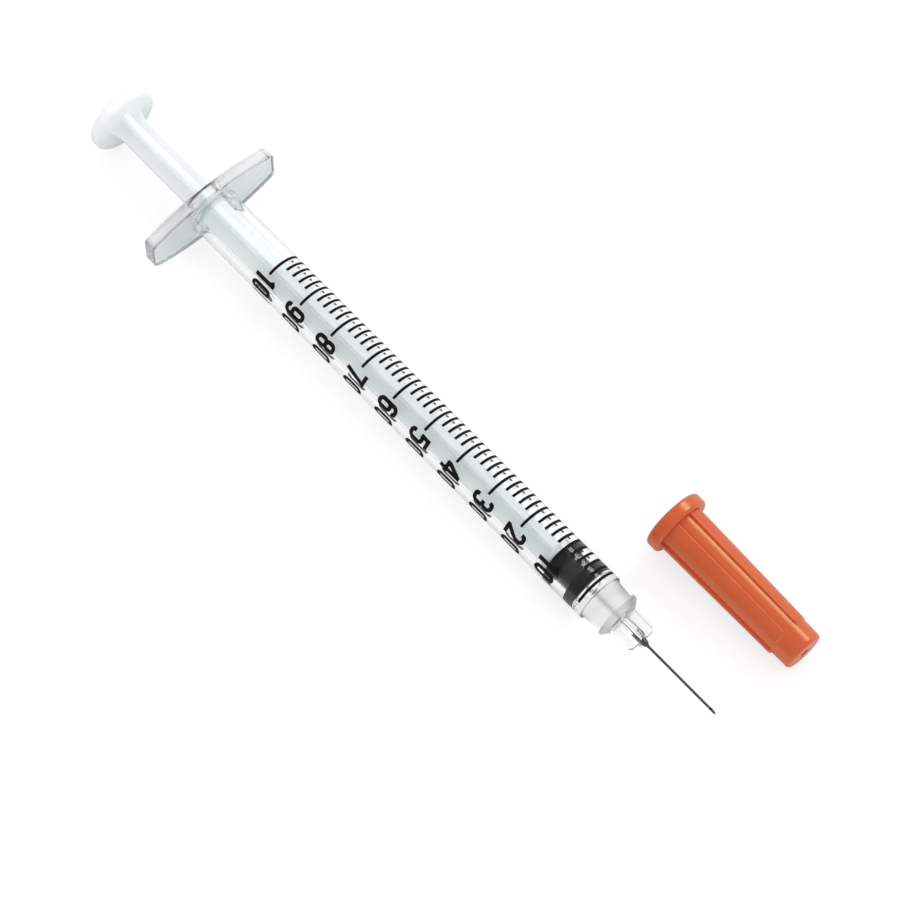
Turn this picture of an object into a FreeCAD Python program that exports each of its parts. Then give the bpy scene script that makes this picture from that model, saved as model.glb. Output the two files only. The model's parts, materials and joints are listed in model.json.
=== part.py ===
import FreeCAD, Part
import math
import os

import Sketcher

# A 1 mL insulin syringe, lying as it comes to rest, with its plunger pushed home and its needle
# shield taken off beside it. X runs along the barrel to the needle, Y along the finger flange and
# Z up. The origin is on the barrel's axis at the front face of the flange.

SIZES = [
    # Barrel tube
    ("barrel_outer_diameter", 6.5),
    ("bore_diameter", 4.75),
    ("mouth_funnel_depth", 0.5),
    ("mouth_funnel_width", 0.35),
    ("retaining_ring_setback", 1.0),
    ("retaining_ring_width", 0.5),
    ("retaining_ring_height", 0.1),
    # Finger flange
    ("flange_width", 19.8),
    ("flange_height", 8.6),
    ("flange_thickness", 1.75),
    ("flange_side_radius", 28.0),
    ("flange_corner_radius", 1.3),
    ("flange_edge_break", 0.25),
    ("flange_root_break", 0.5),
    # Nose, shield ring and finned hub
    ("skirt_length", 2.55),
    ("skirt_rear_diameter", 5.95),
    ("skirt_front_diameter", 5.45),
    ("shield_ring_diameter", 6.24),
    ("shield_ring_width", 0.45),
    ("shield_ring_cone_length", 0.75),
    ("shield_ring_cone_diameter", 4.3),
    ("hub_length", 3.5),
    ("hub_core_diameter", 1.5),
    ("fin_span", 3.95),
    ("fin_thickness", 0.55),
    ("fin_corner_cut", 0.35),
    ("fin_count", 4),
    ("adhesive_well_diameter", 0.95),
    ("adhesive_well_depth", 1.3),
    ("outlet_diameter", 0.9),
    ("outlet_length", 0.6),
    # Scale
    ("hundred_line_distance", 12.28),
    ("scale_length", 56.43),
    ("zero_line_setback", 0.97),
    ("line_width", 0.37),
    ("zero_line_width", 0.43),
    ("ink_thickness", 0.03),
    ("line_upper_angle", 62.0),
    ("long_line_lower_angle", 29.5),
    ("zero_line_lower_angle", 58.0),
    ("short_line_gap_angle", 3.5),
    ("long_line_count", 11),
    ("line_count", 51),
    # Needle and its adhesive
    ("needle_outer_diameter", 0.33),
    ("needle_bore_diameter", 0.18),
    ("needle_reach", 12.35),
    ("bevel_length", 1.4),
    ("needle_seat_gap", 0.02),
    ("bead_length", 1.1),
    ("bead_shoulder_length", 0.37),
    ("bead_shoulder_diameter", 0.76),
    ("bead_tip_width", 0.08),
    # Stopper
    ("stopper_length", 6.0),
    ("stopper_clearance", 0.02),
    ("rear_rib_width", 1.6),
    ("front_rib_width", 1.65),
    ("rib_lead", 0.2),
    ("stopper_waist_depth", 0.2),
    ("stopper_cone_length", 0.7),
    ("stopper_tip_diameter", 1.9),
    ("stopper_floor_gap", 0.12),
    # Plunger rod
    ("thumb_disc_standoff", 17.0),
    ("rod_rib_span", 3.9),
    ("rod_rib_thickness", 0.8),
    ("rod_rib_count", 4),
    ("rod_core_diameter", 1.1),
    ("rod_flare_length", 1.6),
    ("rod_flare_span", 5.0),
    ("rod_plate_diameter", 4.4),
    ("rod_plate_thickness", 0.8),
    ("rod_neck_diameter", 1.7),
    ("rod_neck_length", 1.3),
    ("rod_head_diameter", 2.6),
    ("rod_head_length", 2.2),
    ("rod_head_cone_length", 1.0),
    ("rod_head_tip_diameter", 1.3),
    ("head_gap", 0.03),
    ("thumb_disc_diameter", 9.45),
    ("thumb_disc_thickness", 1.5),
    ("thumb_disc_edge_break", 0.35),
    ("thumb_disc_dish_depth", 0.2),
    ("thumb_disc_rim_width", 0.9),
    # Needle shield
    ("shield_length", 22.85),
    ("collar_diameter", 8.35),
    ("collar_length", 1.85),
    ("collar_edge_break", 0.35),
    ("shield_rear_diameter", 5.9),
    ("shield_front_diameter", 5.4),
    ("shield_end_edge_break", 0.4),
    ("shield_rib_rear_diameter", 6.7),
    ("shield_rib_front_diameter", 6.05),
    ("shield_rib_reach", 20.2),
    ("shield_rib_ramp", 0.35),
    ("shield_rib_angle", 38.0),
    ("shield_rib_count", 5),
    ("shield_ring_clearance", 0.1),
    ("shield_hub_clearance", 0.05),
    ("shield_bore_end_diameter", 2.6),
    ("shield_bore_step_length", 0.6),
    ("shield_needle_clearance", 2.0),
    ("shield_gate_diameter", 1.3),
    ("shield_gate_depth", 0.25),
    ("shield_offset", 13.13),
    ("shield_setback", 1.65),
]

doc = FreeCAD.newDocument("syringe")
sheet = doc.addObject("Spreadsheet::Sheet", "Sizes")
for row, (alias, number) in enumerate(SIZES, start=1):
    sheet.set("A%d" % row, alias)
    sheet.set("B%d" % row, str(number))
    sheet.setAlias("B%d" % row, alias)
doc.recompute()


def size(alias):
    """A driving dimension as a number, read from the sheet."""
    return float(sheet.get(alias))


# Formulas that more than one feature uses, in the sheet's own terms

TUBE_RADIUS = "Sizes.barrel_outer_diameter / 2"
BORE_RADIUS = "Sizes.bore_diameter / 2"
ZERO_LINE = "(Sizes.hundred_line_distance + Sizes.scale_length)"
TUBE_END = "(%s + Sizes.zero_line_setback)" % ZERO_LINE
RIB_RADIUS = "(Sizes.bore_diameter / 2 - Sizes.stopper_clearance)"
RING_START = "(%s + Sizes.skirt_length)" % TUBE_END
RING_END = "(%s + Sizes.shield_ring_width + Sizes.shield_ring_cone_length)" % RING_START
HUB_END = "(%s + Sizes.hub_length)" % RING_END
SEAT_RADIUS = "(Sizes.needle_outer_diameter / 2 + Sizes.needle_seat_gap)"
NEEDLE_START = "(%s + Sizes.stopper_floor_gap + Sizes.outlet_length / 2)" % ZERO_LINE
NEEDLE_LENGTH = "(%s + Sizes.needle_reach - %s)" % (HUB_END, NEEDLE_START)
ROD_LENGTH = "(Sizes.thumb_disc_standoff + %s - Sizes.stopper_length)" % ZERO_LINE
ROD_SEAT = "(Sizes.thumb_disc_thickness + %s)" % ROD_LENGTH
NECK_END = "(Sizes.rod_neck_length - Sizes.head_gap)"
HEAD_END = "(Sizes.rod_neck_length + Sizes.rod_head_length)"
HEAD_SHOULDER = "(%s - Sizes.rod_head_cone_length)" % HEAD_END

# The largest distance between two places that count as the same, and the least that a cut takes away

SAME_PLACE = 1e-4
LEAST_CUT = 1e-6


def origin_plane(body, role):
    """The body's own origin plane with this role."""
    for feature in body.Origin.OriginFeatures:
        if feature.Role == role:
            return feature
    raise ValueError("no origin plane " + role)


def new_body(name):
    """A body whose label names its file."""
    body = doc.addObject("PartDesign::Body", name)
    body.Label = name
    return body


def new_sketch(body, name, role):
    """A sketch on one of the body's own origin planes."""
    sketch = body.newObject("Sketcher::SketchObject", name)
    sketch.AttachmentSupport = [(origin_plane(body, role), "")]
    sketch.MapMode = "FlatFace"
    return sketch


def bind_constraint(sketch, constraint, label, formula):
    """Adds a dimension to the sketch and ties it to the sheet."""
    index = sketch.addConstraint(constraint)
    sketch.renameConstraint(index, label)
    sketch.setExpression("Constraints." + label, formula)


# A corner's two places: the kind of dimension, the axis it lies on where it is nought, and its label

CORNER_PLACES = (("DistanceX", -2, "along"), ("DistanceY", -1, "across"))


def draw_outline(sketch, corners):
    """A closed outline of straight lines whose corners are formulas along and across the axis."""
    count = len(corners)
    turn = 2 * math.pi / count
    ring = [FreeCAD.Vector(math.cos(turn * i), math.sin(turn * i), 0) for i in range(count)]
    for i in range(count):
        sketch.addGeometry(Part.LineSegment(ring[i], ring[(i + 1) % count]), False)
    for i in range(count):
        sketch.addConstraint(Sketcher.Constraint("Coincident", i, 2, (i + 1) % count, 1))
    for i, corner in enumerate(corners):
        for (kind, axis, label), formula in zip(CORNER_PLACES, corner):
            if formula == "0":
                sketch.addConstraint(Sketcher.Constraint("PointOnObject", i, 1, axis))
            else:
                distance = Sketcher.Constraint(kind, -1, 1, i, 1, 1.0)
                bind_constraint(sketch, distance, "%s%d" % (label, i), formula)


def outline_sketch(body, name, role, corners):
    """A sketch that holds one closed outline."""
    sketch = new_sketch(body, name, role)
    draw_outline(sketch, corners)
    return sketch


def add_turned(body, name, sketch, kind="PartDesign::Revolution"):
    """A full turn of the sketch about the X axis, added or cut."""
    feature = body.newObject(kind, name)
    feature.Profile = sketch
    feature.ReferenceAxis = (sketch, ["H_Axis"])
    feature.Angle = 360
    doc.recompute()
    return feature


def add_polar_copies(body, name, feature, count_formula):
    """Equal copies of a feature around the body's X axis."""
    pattern = body.newObject("PartDesign::PolarPattern", name)
    pattern.Originals = [feature]
    pattern.Axis = (origin_plane(body, "X_Axis"), [""])
    pattern.Angle = 360
    pattern.setExpression("Occurrences", count_formula)
    body.Tip = pattern
    doc.recompute()
    return pattern


def add_line_copies(body, name, feature, count_formula, length_formula):
    """Equal copies of a feature along the body's X axis."""
    pattern = body.newObject("PartDesign::LinearPattern", name)
    pattern.Originals = [feature]
    pattern.Direction = (origin_plane(body, "X_Axis"), [""])
    pattern.setExpression("Length", length_formula)
    pattern.setExpression("Occurrences", count_formula)
    body.Tip = pattern
    doc.recompute()
    return pattern


def picked_edges(base, wanted):
    """The names of those edges of the base feature that the test picks out."""
    return ["Edge%d" % number for number, edge in enumerate(base.Shape.Edges, start=1) if wanted(edge)]


def add_rounding(body, name, base, radius_formula, wanted):
    """A fillet on the picked edges."""
    fillet = body.newObject("PartDesign::Fillet", name)
    fillet.Base = (base, picked_edges(base, wanted))
    fillet.setExpression("Radius", radius_formula)
    doc.recompute()
    return fillet


def add_edge_break(body, name, base, size_formula, wanted):
    """A chamfer on the picked edges."""
    chamfer = body.newObject("PartDesign::Chamfer", name)
    chamfer.Base = (base, picked_edges(base, wanted))
    chamfer.setExpression("Size", size_formula)
    doc.recompute()
    return chamfer


def is_circle_at(edge, along, radius):
    """True for a circle about the X axis at this place with this radius."""
    curve = edge.Curve
    if not isinstance(curve, Part.Circle):
        return False
    off_axis = abs(curve.Center.y) + abs(curve.Center.z)
    return max(off_axis, abs(curve.Center.x - along), abs(curve.Radius - radius)) < SAME_PLACE


# Barrel: finger flange, tube, nose, shield ring and finned hub in one moulding

def draw_flange_outline(sketch):
    """Two long arcs above and below, closed by an upright line at each end."""
    half_width = size("flange_width") / 2
    radius = size("flange_side_radius")
    drop = radius - size("flange_height") / 2
    reach = math.asin(half_width / radius)
    corner = math.sqrt(radius ** 2 - half_width ** 2) - drop
    normal = FreeCAD.Vector(0, 0, 1)
    quarter = math.pi / 2
    for side in (1, -1):
        centre = FreeCAD.Vector(0, -side * drop, 0)
        middle = side * quarter
        circle = Part.Circle(centre, normal, radius)
        sketch.addGeometry(Part.ArcOfCircle(circle, middle - reach, middle + reach), False)
    left = [FreeCAD.Vector(-half_width, corner, 0), FreeCAD.Vector(-half_width, -corner, 0)]
    right = [FreeCAD.Vector(half_width, -corner, 0), FreeCAD.Vector(half_width, corner, 0)]
    sketch.addGeometry(Part.LineSegment(*left), False)
    sketch.addGeometry(Part.LineSegment(*right), False)
    for first, first_end, second, second_end in ((0, 2, 2, 1), (2, 2, 1, 1), (1, 2, 3, 1), (3, 2, 0, 1)):
        sketch.addConstraint(Sketcher.Constraint("Coincident", first, first_end, second, second_end))
    for arc, side in ((0, "-"), (1, "")):
        sketch.addConstraint(Sketcher.Constraint("PointOnObject", arc, 3, -2))
        bind_constraint(sketch, Sketcher.Constraint("Radius", arc, radius), "radius%d" % arc,
                        "Sizes.flange_side_radius")
        start = -drop if side == "-" else drop
        bind_constraint(sketch, Sketcher.Constraint("DistanceY", -1, 1, arc, 3, start), "drop%d" % arc,
                        side + "(Sizes.flange_side_radius - Sizes.flange_height / 2)")
    for line, sign in ((2, "-"), (3, "")):
        sketch.addConstraint(Sketcher.Constraint("Vertical", line))
        start = -half_width if sign == "-" else half_width
        bind_constraint(sketch, Sketcher.Constraint("DistanceX", -1, 1, line, 1, start), "end%d" % line,
                        sign + "Sizes.flange_width / 2")


def build_barrel():
    """The clear moulding."""
    body = new_body("barrel")
    flange_sketch = new_sketch(body, "flange_outline", "YZ_Plane")
    draw_flange_outline(flange_sketch)
    flange = body.newObject("PartDesign::Pad", "flange")
    flange.Profile = flange_sketch
    flange.Reversed = True
    flange.setExpression("Length", "Sizes.flange_thickness")
    doc.recompute()

    def is_corner(edge):
        box = edge.BoundBox
        return box.XLength > size("flange_thickness") / 2 and box.YLength + box.ZLength < SAME_PLACE

    corners = add_rounding(body, "flange_corners", flange, "Sizes.flange_corner_radius", is_corner)

    def is_rim(edge):
        return edge.BoundBox.XLength < SAME_PLACE

    add_edge_break(body, "flange_edges", corners, "Sizes.flange_edge_break", is_rim)

    outside = outline_sketch(body, "outside_outline", "XY_Plane", [
        ("-Sizes.flange_thickness", "0"),
        ("-Sizes.flange_thickness", TUBE_RADIUS),
        (TUBE_END, TUBE_RADIUS),
        (TUBE_END, "Sizes.skirt_rear_diameter / 2"),
        (RING_START, "Sizes.skirt_front_diameter / 2"),
        (RING_START, "Sizes.shield_ring_diameter / 2"),
        (RING_START + " + Sizes.shield_ring_width", "Sizes.shield_ring_diameter / 2"),
        (RING_END, "Sizes.shield_ring_cone_diameter / 2"),
        (RING_END, "Sizes.hub_core_diameter / 2"),
        (HUB_END, "Sizes.hub_core_diameter / 2"),
        (HUB_END, "0"),
    ])
    tube = add_turned(body, "tube_and_nose", outside)

    def is_root(edge):
        return is_circle_at(edge, 0.0, size("barrel_outer_diameter") / 2)

    add_edge_break(body, "flange_root", tube, "Sizes.flange_root_break", is_root)

    fin_sketch = outline_sketch(body, "fin_outline", "XY_Plane", [
        (RING_END + " - Sizes.shield_ring_cone_length / 2", "0"),
        (RING_END + " - Sizes.shield_ring_cone_length / 2", "Sizes.fin_span / 2"),
        (HUB_END + " - Sizes.fin_corner_cut", "Sizes.fin_span / 2"),
        (HUB_END, "Sizes.fin_span / 2 - Sizes.fin_corner_cut"),
        (HUB_END, "0"),
    ])
    fin = body.newObject("PartDesign::Pad", "fin")
    fin.Profile = fin_sketch
    fin.Midplane = True
    fin.setExpression("Length", "Sizes.fin_thickness")
    doc.recompute()
    add_polar_copies(body, "fins", fin, "Sizes.fin_count")

    ring_front = "(Sizes.retaining_ring_setback - Sizes.flange_thickness + Sizes.retaining_ring_width)"
    ring_rear = "(Sizes.retaining_ring_setback - Sizes.flange_thickness)"
    ring_radius = "Sizes.bore_diameter / 2 - Sizes.retaining_ring_height"
    floor = "(%s + Sizes.stopper_floor_gap)" % ZERO_LINE
    inside = outline_sketch(body, "inside_outline", "XY_Plane", [
        ("-Sizes.flange_thickness", "0"),
        ("-Sizes.flange_thickness", "Sizes.bore_diameter / 2 + Sizes.mouth_funnel_width"),
        ("Sizes.mouth_funnel_depth - Sizes.flange_thickness", BORE_RADIUS),
        (ring_rear, BORE_RADIUS),
        (ring_rear + " + Sizes.retaining_ring_width / 2", ring_radius),
        (ring_front, BORE_RADIUS),
        (floor + " - Sizes.stopper_cone_length", BORE_RADIUS),
        (floor, "Sizes.stopper_tip_diameter / 2"),
        (floor, "Sizes.outlet_diameter / 2"),
        (floor + " + Sizes.outlet_length", "Sizes.outlet_diameter / 2"),
        (floor + " + Sizes.outlet_length", SEAT_RADIUS),
        (HUB_END + " - Sizes.adhesive_well_depth", SEAT_RADIUS),
        (HUB_END + " - Sizes.adhesive_well_depth", "Sizes.adhesive_well_diameter / 2"),
        (HUB_END, "Sizes.adhesive_well_diameter / 2"),
        (HUB_END, "0"),
    ])
    before = body.Shape.Volume
    bore = add_turned(body, "bore", inside, "PartDesign::Groove")
    report_cut("bore", before, bore.Shape.Volume)
    return body


def report_cut(name, before, after):
    """Stops the build where a cut took nothing away."""
    if not after < before - LEAST_CUT:
        raise ValueError(name + " cut nothing")


# Scale print: a line every two units, a long one every ten and a wide one at zero

def add_line(body, name, place, width, upper, lower):
    """One printed line, a thin band bent round the tube between two angles from the top."""
    sketch = outline_sketch(body, name + "_section", "XZ_Plane", [
        (place + " - " + width + " / 2", TUBE_RADIUS),
        (place + " - " + width + " / 2", TUBE_RADIUS + " + Sizes.ink_thickness"),
        (place + " + " + width + " / 2", TUBE_RADIUS + " + Sizes.ink_thickness"),
        (place + " + " + width + " / 2", TUBE_RADIUS),
    ])
    line = body.newObject("PartDesign::Revolution", name)
    line.Profile = sketch
    line.ReferenceAxis = (sketch, ["H_Axis"])
    line.Type = "TwoAngles"
    line.Reversed = True
    line.setExpression("Angle", upper)
    line.setExpression("Angle2", lower)
    doc.recompute()
    return line


def build_marks():
    """All the printed lines as one node of separate thin bands."""
    body = new_body("graduation_marks")
    body.AllowCompound = True
    short = add_line(body, "short_line", "Sizes.hundred_line_distance", "Sizes.line_width",
                     "Sizes.line_upper_angle", "-Sizes.short_line_gap_angle")
    add_line_copies(body, "short_lines", short, "Sizes.line_count", "Sizes.scale_length")
    long = add_line(body, "long_line", "Sizes.hundred_line_distance", "Sizes.line_width",
                    "Sizes.line_upper_angle", "Sizes.long_line_lower_angle")
    add_line_copies(body, "long_lines", long, "Sizes.long_line_count", "Sizes.scale_length")
    zero = add_line(body, "zero_line", ZERO_LINE, "Sizes.zero_line_width",
                    "Sizes.line_upper_angle", "Sizes.zero_line_lower_angle")
    body.Tip = zero
    return body


# Needle and the adhesive round it

def build_needle():
    """The steel tube with its bevelled point, from the outlet to the tip."""
    body = new_body("needle")
    section = new_sketch(body, "tube_section", "YZ_Plane")
    centre = FreeCAD.Vector(0, 0, 0)
    normal = FreeCAD.Vector(0, 0, 1)
    for index, alias in enumerate(("needle_outer_diameter", "needle_bore_diameter")):
        section.addGeometry(Part.Circle(centre, normal, size(alias) / 2), False)
        section.addConstraint(Sketcher.Constraint("Coincident", index, 3, -1, 1))
        bind_constraint(section, Sketcher.Constraint("Diameter", index, size(alias)), "across%d" % index,
                        "Sizes." + alias)
    tube = body.newObject("PartDesign::Pad", "tube")
    tube.Profile = section
    tube.setExpression("Length", NEEDLE_LENGTH)
    doc.recompute()
    before = body.Shape.Volume
    bevel_sketch = outline_sketch(body, "bevel_outline", "XZ_Plane", [
        (NEEDLE_LENGTH, "-Sizes.needle_outer_diameter / 2"),
        (NEEDLE_LENGTH + " - Sizes.bevel_length", "Sizes.needle_outer_diameter / 2"),
        (NEEDLE_LENGTH + " - Sizes.bevel_length", "Sizes.needle_outer_diameter"),
        (NEEDLE_LENGTH + " + Sizes.bevel_length", "Sizes.needle_outer_diameter"),
        (NEEDLE_LENGTH + " + Sizes.bevel_length", "-Sizes.needle_outer_diameter / 2"),
    ])
    bevel = body.newObject("PartDesign::Pocket", "bevel")
    bevel.Profile = bevel_sketch
    bevel.Midplane = True
    bevel.Type = "ThroughAll"
    doc.recompute()
    report_cut("bevel", before, bevel.Shape.Volume)
    return body


def build_adhesive():
    """The glue that fills the hub's well and runs out a little along the needle."""
    body = new_body("needle_adhesive")
    outline = outline_sketch(body, "adhesive_outline", "XY_Plane", [
        ("0", "Sizes.needle_outer_diameter / 2"),
        ("0", "Sizes.adhesive_well_diameter / 2"),
        ("Sizes.adhesive_well_depth", "Sizes.adhesive_well_diameter / 2"),
        ("Sizes.adhesive_well_depth + Sizes.bead_shoulder_length", "Sizes.bead_shoulder_diameter / 2"),
        ("Sizes.adhesive_well_depth + Sizes.bead_length",
         "Sizes.needle_outer_diameter / 2 + Sizes.bead_tip_width"),
        ("Sizes.adhesive_well_depth + Sizes.bead_length", "Sizes.needle_outer_diameter / 2"),
    ])
    add_turned(body, "bead", outline)
    return body


# Stopper: two sealing ribs, a waist between them and a conical front, moulded over the rod's head

def build_stopper():
    """The rubber stopper, from its rear face to its tip."""
    body = new_body("stopper")
    waist_radius = "Sizes.bore_diameter / 2 - Sizes.stopper_waist_depth"
    front_rib_end = "Sizes.stopper_length - Sizes.stopper_cone_length"
    outline = outline_sketch(body, "stopper_outline", "XY_Plane", [
        ("0", "Sizes.rod_neck_diameter / 2 + Sizes.head_gap"),
        ("0", RIB_RADIUS + " - Sizes.rib_lead"),
        ("Sizes.rib_lead", RIB_RADIUS),
        ("Sizes.rear_rib_width - Sizes.rib_lead", RIB_RADIUS),
        ("Sizes.rear_rib_width", waist_radius),
        (front_rib_end + " - Sizes.front_rib_width", waist_radius),
        (front_rib_end + " - Sizes.front_rib_width + Sizes.rib_lead", RIB_RADIUS),
        (front_rib_end, RIB_RADIUS),
        ("Sizes.stopper_length", "Sizes.stopper_tip_diameter / 2"),
        ("Sizes.stopper_length", "0"),
        (HEAD_END + " + Sizes.head_gap", "0"),
        (HEAD_END + " + Sizes.head_gap", "Sizes.rod_head_tip_diameter / 2 + Sizes.head_gap"),
        (HEAD_SHOULDER, "Sizes.rod_head_diameter / 2 + Sizes.head_gap"),
        (NECK_END, "Sizes.rod_head_diameter / 2 + Sizes.head_gap"),
        (NECK_END, "Sizes.rod_neck_diameter / 2 + Sizes.head_gap"),
    ])
    add_turned(body, "rubber", outline)
    return body


# Plunger rod: thumb disc, cross-shaped stem, front plate and the head inside the stopper

def build_plunger_rod():
    """The rod, from the rear face of the thumb disc to the head."""
    body = new_body("plunger_rod")
    disc_radius = "Sizes.thumb_disc_diameter / 2"
    rim_inside = disc_radius + " - Sizes.thumb_disc_rim_width"
    plate_rear = ROD_SEAT + " - Sizes.rod_plate_thickness"
    outline = outline_sketch(body, "turned_outline", "XY_Plane", [
        ("Sizes.thumb_disc_dish_depth", "0"),
        ("Sizes.thumb_disc_dish_depth", rim_inside),
        ("0", rim_inside + " + Sizes.thumb_disc_dish_depth"),
        ("0", disc_radius),
        ("Sizes.thumb_disc_thickness", disc_radius),
        ("Sizes.thumb_disc_thickness", "Sizes.rod_core_diameter / 2"),
        (plate_rear, "Sizes.rod_core_diameter / 2"),
        (plate_rear, "Sizes.rod_plate_diameter / 2"),
        (ROD_SEAT, "Sizes.rod_plate_diameter / 2"),
        (ROD_SEAT, "Sizes.rod_neck_diameter / 2"),
        (ROD_SEAT + " + Sizes.rod_neck_length", "Sizes.rod_neck_diameter / 2"),
        (ROD_SEAT + " + Sizes.rod_neck_length", "Sizes.rod_head_diameter / 2"),
        (ROD_SEAT + " + " + HEAD_SHOULDER, "Sizes.rod_head_diameter / 2"),
        (ROD_SEAT + " + " + HEAD_END, "Sizes.rod_head_tip_diameter / 2"),
        (ROD_SEAT + " + " + HEAD_END, "0"),
    ])
    turned = add_turned(body, "disc_plate_and_head", outline)

    def is_disc_edge(edge):
        radius = size("thumb_disc_diameter") / 2
        return is_circle_at(edge, 0.0, radius) or is_circle_at(edge, size("thumb_disc_thickness"), radius)

    add_edge_break(body, "thumb_disc_edges", turned, "Sizes.thumb_disc_edge_break", is_disc_edge)
    rib_sketch = outline_sketch(body, "rib_outline", "XY_Plane", [
        ("Sizes.thumb_disc_thickness / 2", "0"),
        ("Sizes.thumb_disc_thickness / 2", "Sizes.rod_flare_span / 2"),
        ("Sizes.thumb_disc_thickness", "Sizes.rod_flare_span / 2"),
        ("Sizes.thumb_disc_thickness + Sizes.rod_flare_length", "Sizes.rod_rib_span / 2"),
        (plate_rear + " + Sizes.rod_plate_thickness / 2", "Sizes.rod_rib_span / 2"),
        (plate_rear + " + Sizes.rod_plate_thickness / 2", "0"),
    ])
    rib = body.newObject("PartDesign::Pad", "rib")
    rib.Profile = rib_sketch
    rib.Midplane = True
    rib.setExpression("Length", "Sizes.rod_rib_thickness")
    doc.recompute()
    add_polar_copies(body, "ribs", rib, "Sizes.rod_rib_count")
    return body


# Needle shield: collar, tapered body with raised ribs, and a bore that goes over ring, hub and needle

def build_shield():
    """The shield, from its open rear face to its closed end."""
    body = new_body("needle_shield")
    end = "Sizes.shield_length"
    outline = outline_sketch(body, "shield_outline", "XY_Plane", [
        ("0", "0"),
        ("0", "Sizes.collar_diameter / 2"),
        ("Sizes.collar_length", "Sizes.collar_diameter / 2"),
        ("Sizes.collar_length", "Sizes.shield_rear_diameter / 2"),
        (end, "Sizes.shield_front_diameter / 2"),
        (end, "Sizes.shield_gate_diameter / 2"),
        (end + " - Sizes.shield_gate_depth", "Sizes.shield_gate_diameter / 2"),
        (end + " - Sizes.shield_gate_depth", "0"),
    ])
    shell = add_turned(body, "collar_and_body", outline)

    def is_collar_edge(edge):
        radius = size("collar_diameter") / 2
        return is_circle_at(edge, 0.0, radius) or is_circle_at(edge, size("collar_length"), radius)

    collar = add_edge_break(body, "collar_edges", shell, "Sizes.collar_edge_break", is_collar_edge)

    def is_end_edge(edge):
        return is_circle_at(edge, size("shield_length"), size("shield_front_diameter") / 2)

    add_edge_break(body, "end_edge", collar, "Sizes.shield_end_edge_break", is_end_edge)
    root = "-(Sizes.shield_front_diameter / 2 - Sizes.shield_rib_ramp)"
    rib_front = "Sizes.shield_rib_front_diameter / 2"
    rib_sketch = outline_sketch(body, "shield_rib_outline", "XZ_Plane", [
        ("Sizes.collar_length / 2", root),
        ("Sizes.collar_length / 2", "-Sizes.shield_rib_rear_diameter / 2"),
        ("Sizes.shield_rib_reach - Sizes.shield_rib_ramp", "-" + rib_front),
        ("Sizes.shield_rib_reach", "-(" + rib_front + " - Sizes.shield_rib_ramp)"),
        ("Sizes.shield_rib_reach", root),
    ])
    rib = body.newObject("PartDesign::Revolution", "shield_rib")
    rib.Profile = rib_sketch
    rib.ReferenceAxis = (rib_sketch, ["H_Axis"])
    rib.Midplane = True
    rib.setExpression("Angle", "Sizes.shield_rib_angle")
    doc.recompute()
    add_polar_copies(body, "shield_ribs", rib, "Sizes.shield_rib_count")
    ring_depth = "(Sizes.shield_ring_width + Sizes.shield_ring_clearance)"
    cone_end = "(%s + Sizes.shield_ring_cone_length)" % ring_depth
    hub_depth = "(%s + Sizes.hub_length)" % cone_end
    hollow_end = "(%s + Sizes.needle_reach + Sizes.shield_needle_clearance)" % hub_depth
    hollow = outline_sketch(body, "hollow_outline", "XY_Plane", [
        ("0", "0"),
        ("0", "Sizes.shield_ring_diameter / 2 + Sizes.shield_ring_clearance"),
        (ring_depth, "Sizes.shield_ring_diameter / 2 + Sizes.shield_ring_clearance"),
        (cone_end, "Sizes.shield_ring_cone_diameter / 2 + Sizes.shield_ring_clearance"),
        (cone_end, "Sizes.fin_span / 2 + Sizes.shield_hub_clearance"),
        (hub_depth, "Sizes.fin_span / 2 + Sizes.shield_hub_clearance"),
        (hub_depth + " + Sizes.shield_bore_step_length", "Sizes.shield_bore_end_diameter / 2"),
        (hollow_end, "Sizes.shield_bore_end_diameter / 2"),
        (hollow_end, "0"),
    ])
    before = body.Shape.Volume
    bore = add_turned(body, "hollow", hollow, "PartDesign::Groove")
    report_cut("hollow", before, bore.Shape.Volume)
    return body


# Rest: the syringe lies on its thumb disc and the front of its tube, the shield on its collar and a rib

def support_line(supports, balance):
    """The line that touches these (place, radius) rims from below, on both sides of the balance point.

    Gives its slope and the place and radius of the rim behind the balance point that it touches.
    """
    best = None
    for rear, rear_radius in supports:
        for front, front_radius in supports:
            if rear < balance < front:
                slope = (rear_radius - front_radius) / (front - rear)
                height = slope * (balance - rear) - rear_radius
                if best is None or height < best[0]:
                    best = (height, slope, rear, rear_radius)
    return best[1:]


def laid(base, slope):
    """A placement that dips the X axis by this slope."""
    angle = math.degrees(math.atan(slope))
    return FreeCAD.Placement(base, FreeCAD.Rotation(FreeCAD.Vector(0, 1, 0), angle))


def shifted(placement, distance):
    """A placement moved along its own X axis."""
    return placement.multiply(FreeCAD.Placement(FreeCAD.Vector(distance, 0, 0), FreeCAD.Rotation()))


def surface_below(base_height, slope, place, radius):
    """The height of the surface under a rim at this place on a dipped axis."""
    angle = math.atan(slope)
    return base_height - place * math.sin(angle) - radius * math.cos(angle)


zero_line = size("hundred_line_distance") + size("scale_length")
tube_end = zero_line + size("zero_line_setback")
stopper_rear = zero_line - size("stopper_length")
disc_front = -size("thumb_disc_standoff")
ring_start = tube_end + size("skirt_length")
hub_end = ring_start + size("shield_ring_width") + size("shield_ring_cone_length") + size("hub_length")

syringe_rims = [
    (disc_front - size("thumb_disc_edge_break"), size("thumb_disc_diameter") / 2),
    (-size("flange_edge_break"), size("flange_height") / 2),
    (tube_end, size("barrel_outer_diameter") / 2),
    (ring_start + size("shield_ring_width"), size("shield_ring_diameter") / 2),
]
syringe_slope, rim_place, rim_radius = support_line(syringe_rims, tube_end / 2)
surface = surface_below(0.0, syringe_slope, rim_place, rim_radius)
syringe_rest = laid(FreeCAD.Vector(0, 0, 0), syringe_slope)

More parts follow.
